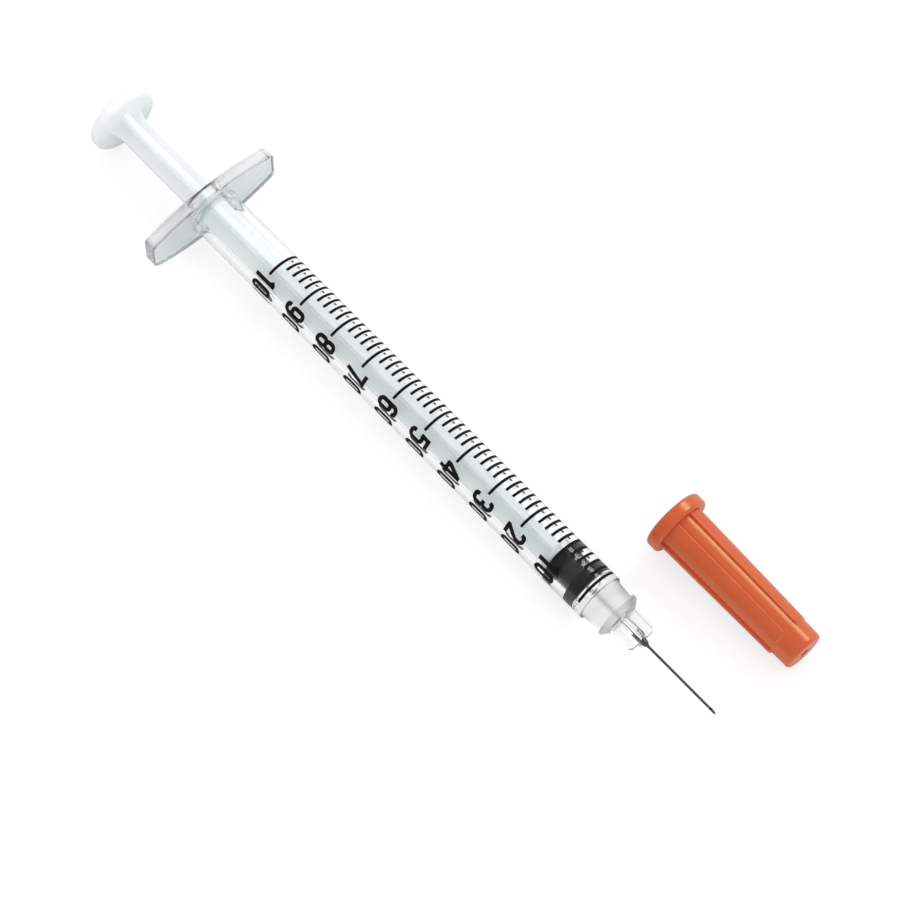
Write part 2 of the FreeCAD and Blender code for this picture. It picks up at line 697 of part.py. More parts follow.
shield_rims = [
    (size("collar_length") - size("collar_edge_break"), size("collar_diameter") / 2),
    (size("shield_rib_reach") - size("shield_rib_ramp"), size("shield_rib_front_diameter") / 2),
    (size("shield_length") - size("shield_end_edge_break"), size("shield_front_diameter") / 2),
]
shield_slope, shield_rim_place, shield_rim_radius = support_line(shield_rims, size("shield_length") / 2)
shield_height = surface - surface_below(0.0, shield_slope, shield_rim_place, shield_rim_radius)
shield_rear = FreeCAD.Vector(tube_end - size("shield_setback"), size("shield_offset"), shield_height)
shield_rest = laid(shield_rear, shield_slope)

needle_start = zero_line + size("stopper_floor_gap") + size("outlet_length") / 2
adhesive_start = hub_end - size("adhesive_well_depth")
rod_start = disc_front - size("thumb_disc_thickness")
pieces = [
    (build_barrel(), syringe_rest),
    (build_marks(), syringe_rest),
    (build_needle(), shifted(syringe_rest, needle_start)),
    (build_adhesive(), shifted(syringe_rest, adhesive_start)),
    (build_plunger_rod(), shifted(syringe_rest, rod_start)),
    (build_stopper(), shifted(syringe_rest, stopper_rear)),
    (build_shield(), shield_rest),
]
for piece, placement in pieces:
    piece.Placement = placement
doc.recompute()

for item in doc.Objects:
    if "Invalid" in item.State or "Error" in item.State:
        raise ValueError(item.Label + " failed: " + ", ".join(item.State))
for piece, placement in pieces:
    if piece.Shape.isNull() or not piece.Shape.isValid():
        raise ValueError(piece.Label + " has no valid shape")

os.makedirs("parts", exist_ok=True)
for piece, placement in pieces:
    piece.Shape.exportStep("parts/" + piece.Label + ".step")
    box = piece.Shape.BoundBox
    print("%-18s solids %2d volume %8.2f mm3 x %6.2f %6.2f y %6.2f %6.2f z %6.2f %6.2f" % (
        piece.Label, len(piece.Shape.Solids), piece.Shape.Volume,
        box.XMin, box.XMax, box.YMin, box.YMax, box.ZMin, box.ZMax))
print("surface under the syringe at z %.3f, syringe dips %.3f degrees, shield %.3f degrees" % (
    surface, math.degrees(math.atan(syringe_slope)), math.degrees(math.atan(shield_slope))))
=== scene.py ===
import json
import logging
import math
from dataclasses import dataclass
from enum import Enum
from typing import Callable, Sequence

import bmesh
import bpy
from mathutils import Matrix, Vector


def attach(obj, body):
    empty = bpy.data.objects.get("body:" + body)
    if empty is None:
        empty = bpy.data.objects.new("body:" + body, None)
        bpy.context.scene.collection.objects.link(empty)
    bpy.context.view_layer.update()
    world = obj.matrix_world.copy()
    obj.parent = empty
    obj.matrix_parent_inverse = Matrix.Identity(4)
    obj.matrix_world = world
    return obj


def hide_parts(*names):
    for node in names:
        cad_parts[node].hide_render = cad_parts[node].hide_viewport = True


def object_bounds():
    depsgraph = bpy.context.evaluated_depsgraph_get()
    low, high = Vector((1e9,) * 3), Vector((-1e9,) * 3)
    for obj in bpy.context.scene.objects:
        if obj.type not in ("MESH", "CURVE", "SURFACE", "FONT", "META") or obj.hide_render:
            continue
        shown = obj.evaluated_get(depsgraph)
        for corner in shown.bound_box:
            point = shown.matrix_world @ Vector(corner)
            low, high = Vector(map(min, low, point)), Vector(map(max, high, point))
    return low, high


# Looks of a syringe that lies with its plunger pushed home, its needle shield taken off beside it.
# A piece's sizes are in millimetres along and across its own axis, and Seat puts it in the frame.
# Finishes and studio are in metres, apart from the camera's place on the syringe's axes.

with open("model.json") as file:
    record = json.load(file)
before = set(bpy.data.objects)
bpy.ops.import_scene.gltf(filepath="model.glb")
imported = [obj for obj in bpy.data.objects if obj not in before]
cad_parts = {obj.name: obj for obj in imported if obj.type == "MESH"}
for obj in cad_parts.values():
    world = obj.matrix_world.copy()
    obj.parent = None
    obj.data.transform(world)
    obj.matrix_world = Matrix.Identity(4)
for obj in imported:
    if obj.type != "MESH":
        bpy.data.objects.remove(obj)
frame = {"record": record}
CAD_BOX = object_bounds()
LOG = logging.getLogger("syringe")

MM = 0.001
MERGE = 0.0005
SMOOTH_ANGLE = math.radians(32)
ARC_STEP = math.radians(12)
OUTSIDE = 0.4
LENGTH_SLACK = 0.01
ANGLE_SLACK = 0.01
LEG_SHARE = 0.49
ROUND_PROFILE = 0.5
HAIRLINE = 0.05
CRISP = 0.1
EASED = 0.15
SOFT = 0.2
ROUND = 0.3


class Body(str, Enum):
    """The moving bodies that pieces ride on."""

    BARREL = "barrel"
    PLUNGER = "plunger"


class Cut(str, Enum):
    """What a boolean tool does to a shape."""

    ADD = "UNION"
    REMOVE = "DIFFERENCE"


# Tools of the bench: outlines, turned and pulled forms, booleans, edges


@dataclass(frozen=True)
class Corner:
    """A corner of an outline, with the radius that rounds it."""

    along: float
    across: float
    rounding: float = 0.0


def rounded(corners: Sequence[Corner]) -> list[Vector]:
    """Turns an open outline's corners into points, with an arc at each rounded one.

    Args:
        corners: The outline's corners in order.

    Returns:
        The points along the outline, flat in X and Y.
    """
    points: list[Vector] = []
    for index, corner in enumerate(corners):
        here = Vector((corner.along, corner.across))
        if corner.rounding <= 0 or index in (0, len(corners) - 1):
            points.append(here)
            continue
        before = Vector((corners[index - 1].along, corners[index - 1].across)) - here
        after = Vector((corners[index + 1].along, corners[index + 1].across)) - here
        points.extend(arc_points(here, before, after, corner.rounding))
    return [Vector((point.x, point.y, 0.0)) for point in points]


def rod_outline(rear: float, front: float, radius: float) -> list[Corner]:
    """The outline of a plain round rod."""
    return [Corner(rear, 0), Corner(rear, radius), Corner(front, radius), Corner(front, 0)]


def arc_points(here: Vector, before: Vector, after: Vector, radius: float) -> list[Vector]:
    """The points of an arc that touches both legs of a corner.

    Args:
        here: The corner.
        before: From the corner to the one before.
        after: From the corner to the one after.
        radius: The arc's radius.

    Returns:
        The arc's points, from the leg before to the leg after.
    """
    leg_in = before.normalized()
    leg_out = after.normalized()
    half = leg_in.angle(leg_out) / 2
    reach = min(radius / math.tan(half), LEG_SHARE * before.length, LEG_SHARE * after.length)
    radius = reach * math.tan(half)
    centre = here + (leg_in + leg_out).normalized() * (radius / math.sin(half))
    start = here + leg_in * reach - centre
    end = here + leg_out * reach - centre
    sweep = math.remainder(math.atan2(end.y, end.x) - math.atan2(start.y, start.x), 2 * math.pi)
    steps = max(2, math.ceil(abs(sweep) / ARC_STEP))
    return [centre + Matrix.Rotation(sweep * step / steps, 2) @ start for step in range(steps + 1)]


def put_down() -> None:
    """Leaves edit mode and lets go of everything."""
    if bpy.context.object is not None and bpy.context.object.mode != "OBJECT":
        bpy.ops.object.mode_set(mode="OBJECT")
    bpy.ops.object.select_all(action="DESELECT")


def pick_up(piece: bpy.types.Object) -> None:
    """Makes one object the only selected and the active one."""
    put_down()
    piece.select_set(True)
    bpy.context.view_layer.objects.active = piece


def trace(name: str, points: Sequence[Vector], closed: bool) -> bpy.types.Object:
    """Draws a line of edges by extruding one vertex from point to point.

    Args:
        name: The new object's name.
        points: Where the line goes.
        closed: Whether it returns to its start.

    Returns:
        The new object, left in edit mode with all of it selected.
    """
    put_down()
    bpy.ops.mesh.primitive_plane_add(size=1.0, location=(0, 0, 0))
    piece = bpy.context.object
    piece.name = name
    bpy.ops.object.mode_set(mode="EDIT")
    bpy.ops.mesh.select_all(action="SELECT")
    bpy.ops.mesh.merge(type="CENTER")
    bpy.ops.transform.translate(value=points[0])
    route = list(points) + ([points[0]] if closed else [])
    for start, end in zip(route, route[1:]):
        bpy.ops.mesh.extrude_region_move(TRANSFORM_OT_translate={"value": end - start})
    bpy.ops.mesh.select_all(action="SELECT")
    if closed:
        bpy.ops.mesh.remove_doubles(threshold=MERGE)
    return piece


def face_outwards() -> None:
    """Turns all the faces outwards and leaves edit mode."""
    bpy.ops.mesh.select_all(action="SELECT")
    bpy.ops.mesh.normals_make_consistent(inside=False)
    bpy.ops.object.mode_set(mode="OBJECT")


def close_up() -> None:
    """Merges doubles, fills open loops and turns the faces outwards, in edit mode."""
    bpy.ops.mesh.select_all(action="SELECT")
    bpy.ops.mesh.remove_doubles(threshold=MERGE)
    bpy.ops.mesh.fill_holes(sides=0)
    face_outwards()


def turned(name: str, corners: Sequence[Corner], steps: int) -> bpy.types.Object:
    """Spins an outline that starts and ends on the X axis into a closed form.

    Args:
        name: The new object's name.
        corners: The outline's corners.
        steps: How many faces go round.

    Returns:
        The turned object.
    """
    piece = trace(name, rounded(corners), closed=False)
    bpy.ops.mesh.spin(steps=steps, angle=2 * math.pi, center=(0, 0, 0), axis=(1, 0, 0))
    close_up()
    return piece


def ringed(name: str, section: Sequence[Corner], steps: int) -> bpy.types.Object:
    """Spins a closed section that keeps off the X axis, or only touches it, all the way round.

    Args:
        name: The new object's name.
        section: The section's corners.
        steps: How many faces go round.

    Returns:
        The ring.
    """
    piece = trace(name, rounded(section), closed=True)
    bpy.ops.mesh.spin(steps=steps, angle=2 * math.pi, center=(0, 0, 0), axis=(1, 0, 0))
    bpy.ops.mesh.select_all(action="SELECT")
    bpy.ops.mesh.remove_doubles(threshold=MERGE)
    face_outwards()
    return piece


def swept(name: str, section: Sequence[Vector], degrees: float, steps: int) -> bpy.types.Object:
    """Spins a closed section part of the way round the X axis.

    Args:
        name: The new object's name.
        section: The section's corners.
        degrees: How far it turns.
        steps: How many faces that takes.

    Returns:
        The swept object, closed at both ends.
    """
    piece = trace(name, section, closed=True)
    bpy.ops.mesh.spin(steps=steps, angle=math.radians(degrees), center=(0, 0, 0), axis=(1, 0, 0))
    close_up()
    return piece


def pulled(name: str, outline: Sequence[Vector], pull: Vector) -> bpy.types.Object:
    """Fills a closed outline and pulls it into a plate.

    Args:
        name: The new object's name.
        outline: The plate's outline.
        pull: How far and which way it is pulled.

    Returns:
        The plate.
    """
    piece = trace(name, outline, closed=True)
    bpy.ops.mesh.edge_face_add()
    bpy.ops.mesh.extrude_region_move(TRANSFORM_OT_translate={"value": pull})
    close_up()
    return piece


def round_edges(piece: bpy.types.Object, wanted: Callable[[bmesh.types.BMEdge], bool], width: float,
                segments: int) -> None:
    """Bevels the edges that a test picks out.

    Args:
        piece: The object.
        wanted: Says of an edge whether it is rounded.
        width: The bevel's width.
        segments: How many faces the bevel has.
    """
    pick_up(piece)
    bpy.ops.object.mode_set(mode="EDIT")
    bpy.ops.mesh.select_mode(type="EDGE")
    bpy.ops.mesh.select_all(action="DESELECT")
    mesh = bmesh.from_edit_mesh(piece.data)
    for edge in mesh.edges:
        edge.select_set(wanted(edge))
    bmesh.update_edit_mesh(piece.data)
    bpy.ops.mesh.bevel(offset=width, segments=segments, profile=ROUND_PROFILE, affect="EDGES")
    bpy.ops.mesh.select_mode(type="VERT")
    bpy.ops.object.mode_set(mode="OBJECT")


def combine(piece: bpy.types.Object, tool: bpy.types.Object, cut: Cut) -> None:
    """Adds a tool to a piece or takes it away, and removes the tool.

    Args:
        piece: The object that is kept.
        tool: The object that shapes it.
        cut: Whether the tool adds or removes.
    """
    pick_up(piece)
    modifier = piece.modifiers.new("shape", "BOOLEAN")
    modifier.operation = cut.value
    modifier.solver = "EXACT"
    modifier.object = tool
    bpy.ops.object.modifier_apply(modifier=modifier.name)
    bpy.data.objects.remove(tool)


def joined(pieces: Sequence[bpy.types.Object]) -> bpy.types.Object:
    """Joins pieces into the first of them."""
    pick_up(pieces[0])
    for piece in pieces:
        piece.select_set(True)
    bpy.ops.object.join()
    return pieces[0]


def placed(piece: bpy.types.Object, place: Matrix) -> bpy.types.Object:
    """Moves a piece and puts its new place in its mesh."""
    pick_up(piece)
    piece.matrix_world = place
    bpy.ops.object.transform_apply(location=True, rotation=True, scale=True)
    return piece


def rolled(piece: bpy.types.Object, degrees: float) -> bpy.types.Object:
    """Turns a piece about the X axis."""
    return placed(piece, Matrix.Rotation(math.radians(degrees), 4, "X"))


def copied(piece: bpy.types.Object) -> bpy.types.Object:
    """A copy with its own mesh."""
    pick_up(piece)
    bpy.ops.object.duplicate()
    return bpy.context.object


def smooth(piece: bpy.types.Object) -> None:
    """Smooths shallow edges, keeps sharp ones and lets large flat faces stay flat."""
    pick_up(piece)
    bpy.ops.object.shade_smooth_by_angle(angle=SMOOTH_ANGLE)
    modifier = piece.modifiers.new("flat faces", "WEIGHTED_NORMAL")
    modifier.keep_sharp = True
    bpy.ops.object.modifier_apply(modifier=modifier.name)


# Where pieces sit in the frame


@dataclass(frozen=True)
class Seat:
    """The place in the frame of a piece's own axis, from its start towards its front."""

    start: Vector
    forward: Vector

    def matrix(self, along: float = 0.0) -> Matrix:
        """The placing of a piece that starts this many millimetres along the axis."""
        side = Vector((0, 1, 0))
        up = self.forward.cross(side)
        turn = Matrix((self.forward, side, up)).transposed().to_4x4()
        return Matrix.Translation(self.start + self.forward * along * MM) @ turn @ Matrix.Scale(MM, 4)

    @classmethod
    def from_mount(cls, name: str, setback: float, forward: bool) -> "Seat":
        """Reads a seat from one of the record's mounts.

        Args:
            name: The mount's name.
            setback: How far the mount lies in front of the seat, in millimetres.
            forward: Whether the mount's axis points forwards.

        Returns:
            The seat.
        """
        mount = next(entry for entry in frame["record"]["mounts"] if entry["name"] == name)
        axis = Vector(mount["axis"]).normalized() * (1 if forward else -1)
        return cls(Vector(mount["pos_m"]) - axis * setback * MM, axis)


def finish_piece(piece: bpy.types.Object, seat: Seat, along: float, body: Body, node: str,
                 material: bpy.types.Material) -> bpy.types.Object:
    """Puts a modelled piece in its place and tells the frame about it.

    Args:
        piece: The object, still in millimetres on its own axis.
        seat: Where its axis lies.
        along: Where it starts on that axis.
        body: What it rides on.
        node: The CAD node that it stands for, or an empty name.
        material: Its finish.

    Returns:
        The placed piece.
    """
    placed(piece, seat.matrix(along))
    piece.data.materials.clear()
    piece.data.materials.append(material)
    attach(piece, body.value)
    if node:
        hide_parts(node)
    LOG.info("%s: %d faces", piece.name, len(piece.data.polygons))
    return piece


# Finishes


class Nodes:
    """A short way to place and join a tree's nodes."""

    def __init__(self, tree: bpy.types.NodeTree) -> None:
        """Empties the tree."""
        self.tree = tree
        tree.nodes.clear()

    def add(self, kind: str, *terms: object, **values: object) -> bpy.types.Node:
        """Places a node and gives it its options and inputs.

        Args:
            kind: The node's type.
            terms: The first inputs in order, each a socket to join or a constant.
            values: Options by attribute name, or inputs by socket name with underscores for blanks.

        Returns:
            The node.
        """
        node = self.tree.nodes.new(kind)
        for name, value in values.items():
            entry = node.inputs.get(name.replace("_", " "))
            if entry is None:
                setattr(node, name, value)
            else:
                self.give(entry, value)
        for entry, value in zip(node.inputs, terms):
            self.give(entry, value)
        return node

    def give(self, entry: bpy.types.NodeSocket, value: object) -> None:
        """Joins an input to a socket, or sets it to a constant."""
        if isinstance(value, bpy.types.NodeSocket):
            self.tree.links.new(value, entry)
        else:
            entry.default_value = value

    def coordinates(self, kind: str) -> bpy.types.NodeSocket:
        """One kind of texture coordinates."""
        return self.add("ShaderNodeTexCoord").outputs[kind]

    def parts(self, kind: str) -> bpy.types.NodeOutputs:
        """The parts X, Y and Z of one kind of texture coordinates."""
        return self.add("ShaderNodeSeparateXYZ", Vector=self.coordinates(kind)).outputs

    def ray(self, question: str) -> bpy.types.NodeSocket:
        """What the Light Path node says of the ray."""
        return self.add("ShaderNodeLightPath").outputs[question]

    def glass_ray(self) -> bpy.types.NodeSocket:
        """One where a ray comes from a reflection or through clear plastic."""
        return self.calc("MAXIMUM", self.ray("Is Glossy Ray"), self.ray("Is Transmission Ray"))

    def calc(self, operation: str, *terms: object, clamped: bool = False) -> bpy.types.NodeSocket:
        """The result of an operation on up to three sockets or constants."""
        return self.add("ShaderNodeMath", *terms, operation=operation, use_clamp=clamped).outputs["Value"]

    def mapped(self, value: bpy.types.NodeSocket, **limits: object) -> bpy.types.NodeSocket:
        """A value's range put on another range."""
        return self.add("ShaderNodeMapRange", Value=value, **limits).outputs["Result"]

    def mix(self, factor: bpy.types.NodeSocket, first: object, second: object,
            kind: str = "RGBA") -> bpy.types.NodeSocket:
        """Two colours or numbers mixed, the second one where the factor is one."""
        return self.add("ShaderNodeMix", data_type=kind, Factor=factor, A=first, B=second).outputs["Result"]

    def skin(self, surface: bpy.types.NodeTree,
             finish: "Plastic | ClearPlastic") -> tuple[bpy.types.NodeOutputs, bpy.types.NodeSocket]:
        """Places the shared moulded surface and the mix of a finish's two colours.

        Args:
            surface: The shared moulded surface group.
            finish: The finish with its scales, depth and colours.

        Returns:
            The surface's outputs and the colour.
        """
        skin = self.add("ShaderNodeGroup", node_tree=surface, Mottle_Scale=finish.mottle_scale,
                        Grain_Scale=finish.grain_scale, Depth=finish.depth).outputs
        return skin, self.mix(skin["Mottle"], (*finish.dark, 1), (*finish.light, 1))

    def show(self, shader: bpy.types.NodeSocket, output: str = "ShaderNodeOutputMaterial") -> None:
        """Joins the finished shader to the tree's output."""
        self.add(output, Surface=shader)


def new_material(name: str) -> tuple[bpy.types.Material, Nodes]:
    """An empty node material and its tree."""
    material = bpy.data.materials.new(name)
    material.use_nodes = True
    return material, Nodes(material.node_tree)


def moulded_surface_group() -> bpy.types.NodeTree:
    """Builds the shared effect of a moulded surface: slow mottle, fine grain and a normal.

    Returns:
        The node group, with outputs Mottle, Grain and Normal.
    """
    group = bpy.data.node_groups.new("moulded_surface", "ShaderNodeTree")
    for name, side, kind in (("Mottle Scale", "INPUT", "Float"), ("Grain Scale", "INPUT", "Float"),
                             ("Depth", "INPUT", "Float"), ("Mottle", "OUTPUT", "Float"),
                             ("Grain", "OUTPUT", "Float"), ("Normal", "OUTPUT", "Vector")):
        group.interface.new_socket(name, in_out=side, socket_type="NodeSocket" + kind)
    nodes = Nodes(group)
    given = nodes.add("NodeGroupInput").outputs
    place = nodes.coordinates("Object")
    mottle = nodes.add("ShaderNodeTexNoise", Vector=place, Scale=given["Mottle Scale"], Detail=3.0,
                       Roughness=0.55).outputs["Fac"]
    grain = nodes.add("ShaderNodeTexNoise", Vector=place, Scale=given["Grain Scale"], Detail=5.0,
                      Roughness=0.6).outputs["Fac"]
    bump = nodes.add("ShaderNodeBump", Strength=1.0, Distance=given["Depth"], Height=grain)
    nodes.add("NodeGroupOutput", Mottle=mottle, Grain=grain, Normal=bump.outputs["Normal"])
    return group


@dataclass(frozen=True)
class Plastic:
    """A moulded plastic, rubber, glue or ink: two close colours, a roughness range and a fine grain."""

    name: str
    light: tuple[float, float, float]
    dark: tuple[float, float, float]
    smoothest: float
    roughest: float
    mottle_scale: float
    grain_scale: float
    depth: float
    ior: float = 1.5
    coat: float = 0.0
    coat_roughness: float = 0.1
    subsurface: float = 0.0
    subsurface_reach: float = 0.001
    subsurface_tint: tuple[float, float, float] = (1.0, 1.0, 1.0)
    specular: float = 0.5
    specular_tint: tuple[float, float, float] = (1.0, 1.0, 1.0)

    def build(self, surface: bpy.types.NodeTree) -> bpy.types.Material:
        """Makes the material.

        Args:
            surface: The shared moulded surface group.

        Returns:
            The material.
        """
        material, nodes = new_material(self.name)
        skin, colour = nodes.skin(surface, self)
        shader = nodes.add("ShaderNodeBsdfPrincipled", Base_Color=colour, Normal=skin["Normal"],
                           Roughness=nodes.mapped(skin["Grain"], To_Min=self.smoothest, To_Max=self.roughest),
                           IOR=self.ior, Coat_Weight=self.coat, Coat_Roughness=self.coat_roughness,
                           Subsurface_Weight=self.subsurface, Subsurface_Scale=self.subsurface_reach,
                           Subsurface_Radius=self.subsurface_tint, Specular_IOR_Level=self.specular,
                           Specular_Tint=(*self.specular_tint, 1))
        nodes.show(shader.outputs["BSDF"])
        return material


@dataclass(frozen=True)
class ClearPlastic:
    """Clear moulded plastic, polished on the tube, faintly frosted on flange and fins, more on the nose."""

    name: str = "clear_plastic"
    light: tuple[float, float, float] = (0.985, 0.996, 0.992)
    dark: tuple[float, float, float] = (0.968, 0.985, 0.978)
    # painted shade: a grey tint on the flange's front face for the grey that is seen through it
    face: tuple[float, float, float] = (0.60, 0.66, 0.68)
    face_rear: float = -0.0003
    face_front: float = 0.0003
    polished: float = 0.01
    frosted: float = 0.19
    clouded: float = 0.45
    unevenness: float = 0.05
    flange_front: float = 0.0008
    nose_rear: float = 0.0693
    nose_front: float = 0.0733
    blend: float = 0.0006
    ior: float = 1.49
    mottle_scale: float = 90.0
    grain_scale: float = 500.0
    depth: float = 0.0000002
    shadow: tuple[float, float, float] = (0.985, 0.992, 0.987)

    def frost(self, nodes: Nodes, along: bpy.types.NodeSocket) -> bpy.types.NodeSocket:
        """The roughness along the moulding: flange, tube, nose and fins.

        Args:
            nodes: The tree to build in.
            along: The place along the moulding.

        Returns:
            The roughness.
        """
        tube, nose, fins = [
            nodes.mapped(along, From_Min=start, From_Max=start + self.blend, To_Min=before, To_Max=after)
            for start, before, after in ((self.flange_front, self.frosted, self.polished),
                                         (self.nose_rear, 0.0, self.clouded - self.polished),
                                         (self.nose_front, 0.0, self.frosted - self.clouded))]
        return nodes.calc("ADD", nodes.calc("ADD", tube, nose), fins)

    def etched(self, nodes: Nodes, along: bpy.types.NodeSocket) -> bpy.types.NodeSocket:
        """One on the flange's front face, where a grey tint is painted on as shade, zero elsewhere.

        Args:
            nodes: The tree to build in.
            along: The place along the moulding.

        Returns:
            The mask.
        """
        rear = nodes.mapped(along, From_Min=self.face_rear, From_Max=self.face_rear / 2)
        front = nodes.mapped(along, From_Min=self.face_front + self.blend, From_Max=self.face_front)
        return nodes.calc("MULTIPLY", rear, front)

    def build(self, surface: bpy.types.NodeTree) -> bpy.types.Material:
        """Makes the material.

        Args:
            surface: The shared moulded surface group.

        Returns:
            The material.
        """
        material, nodes = new_material(self.name)
        skin, colour = nodes.skin(surface, self)
        along = nodes.parts("Object")["X"]
        uneven = nodes.calc("MULTIPLY", skin["Grain"], self.unevenness)
        # The base colour takes the painted shade, a grey tint, on the flange's front face.
        shader = nodes.add("ShaderNodeBsdfPrincipled", Normal=skin["Normal"], IOR=self.ior,
                           Base_Color=nodes.mix(self.etched(nodes, along), colour, (*self.face, 1)),
                           Roughness=nodes.calc("ADD", self.frost(nodes, along), uneven),
                           Transmission_Weight=1.0)
        clear = nodes.add("ShaderNodeBsdfTransparent", Color=(*self.shadow, 1))
        both = nodes.add("ShaderNodeMixShader", nodes.ray("Is Shadow Ray"), shader.outputs["BSDF"],
                         clear.outputs["BSDF"])
        nodes.show(both.outputs["Shader"])
        return material


@dataclass(frozen=True)
class DrawnSteel:
    """Drawn stainless tube with fine lines along its length, its tones darkened as painted shade."""

    name: str = "drawn_steel"
    # painted shade: both tones are far darker than bare steel, for the dim surroundings the needle reflects;
    # the lines along it are the drawn tube's own
    light: tuple[float, float, float] = (0.24, 0.245, 0.25)
    dark: tuple[float, float, float] = (0.07, 0.07, 0.075)
    smoothest: float = 0.22
    roughest: float = 0.42
    line_scale: tuple[float, float, float] = (60.0, 9000.0, 9000.0)

    def build(self) -> bpy.types.Material:
        """Makes the material."""
        material, nodes = new_material(self.name)
        stretch = nodes.add("ShaderNodeMapping", Vector=nodes.coordinates("Object"), Scale=self.line_scale)
        lines = nodes.add("ShaderNodeTexNoise", Vector=stretch.outputs["Vector"], Scale=1.0, Detail=3.0)
        tone = lines.outputs["Fac"]
        shader = nodes.add("ShaderNodeBsdfPrincipled", Metallic=1.0,
                           Base_Color=nodes.mix(tone, (*self.dark, 1), (*self.light, 1)),
                           Roughness=nodes.mapped(tone, To_Min=self.smoothest, To_Max=self.roughest))
        nodes.show(shader.outputs["BSDF"])
        return material


FROSTED_PLASTIC = Plastic("frosted_plastic", (0.895, 0.958, 0.982), (0.86, 0.935, 0.965), 0.32, 0.45,
                          300.0, 2500.0, 0.00001, subsurface=0.8, subsurface_reach=0.004)
BLACK_INK = Plastic("black_ink", (0.012, 0.012, 0.013), (0.003, 0.003, 0.004), 0.55, 0.8,
                    2500.0, 6000.0, 0.000004, specular=0.15)
BLACK_RUBBER = Plastic("black_rubber", (0.020, 0.023, 0.024), (0.006, 0.007, 0.007), 0.30, 0.50,
                       800.0, 4000.0, 0.00001, specular=0.3)
CURED_GLUE = Plastic("cured_glue", (0.10, 0.095, 0.09), (0.03, 0.03, 0.03), 0.05, 0.2,
                     900.0, 2500.0, 0.00002, coat=0.6)
ORANGE_PLASTIC = Plastic("orange_plastic", (0.67, 0.106, 0.040), (0.60, 0.076, 0.026), 0.24, 0.34,
                         260.0, 3200.0, 0.000005, subsurface=0.10, subsurface_reach=0.0008,
                         subsurface_tint=(1.0, 0.30, 0.10), specular=1.0, specular_tint=(0.9, 1.0, 0.5))


# The object's pieces


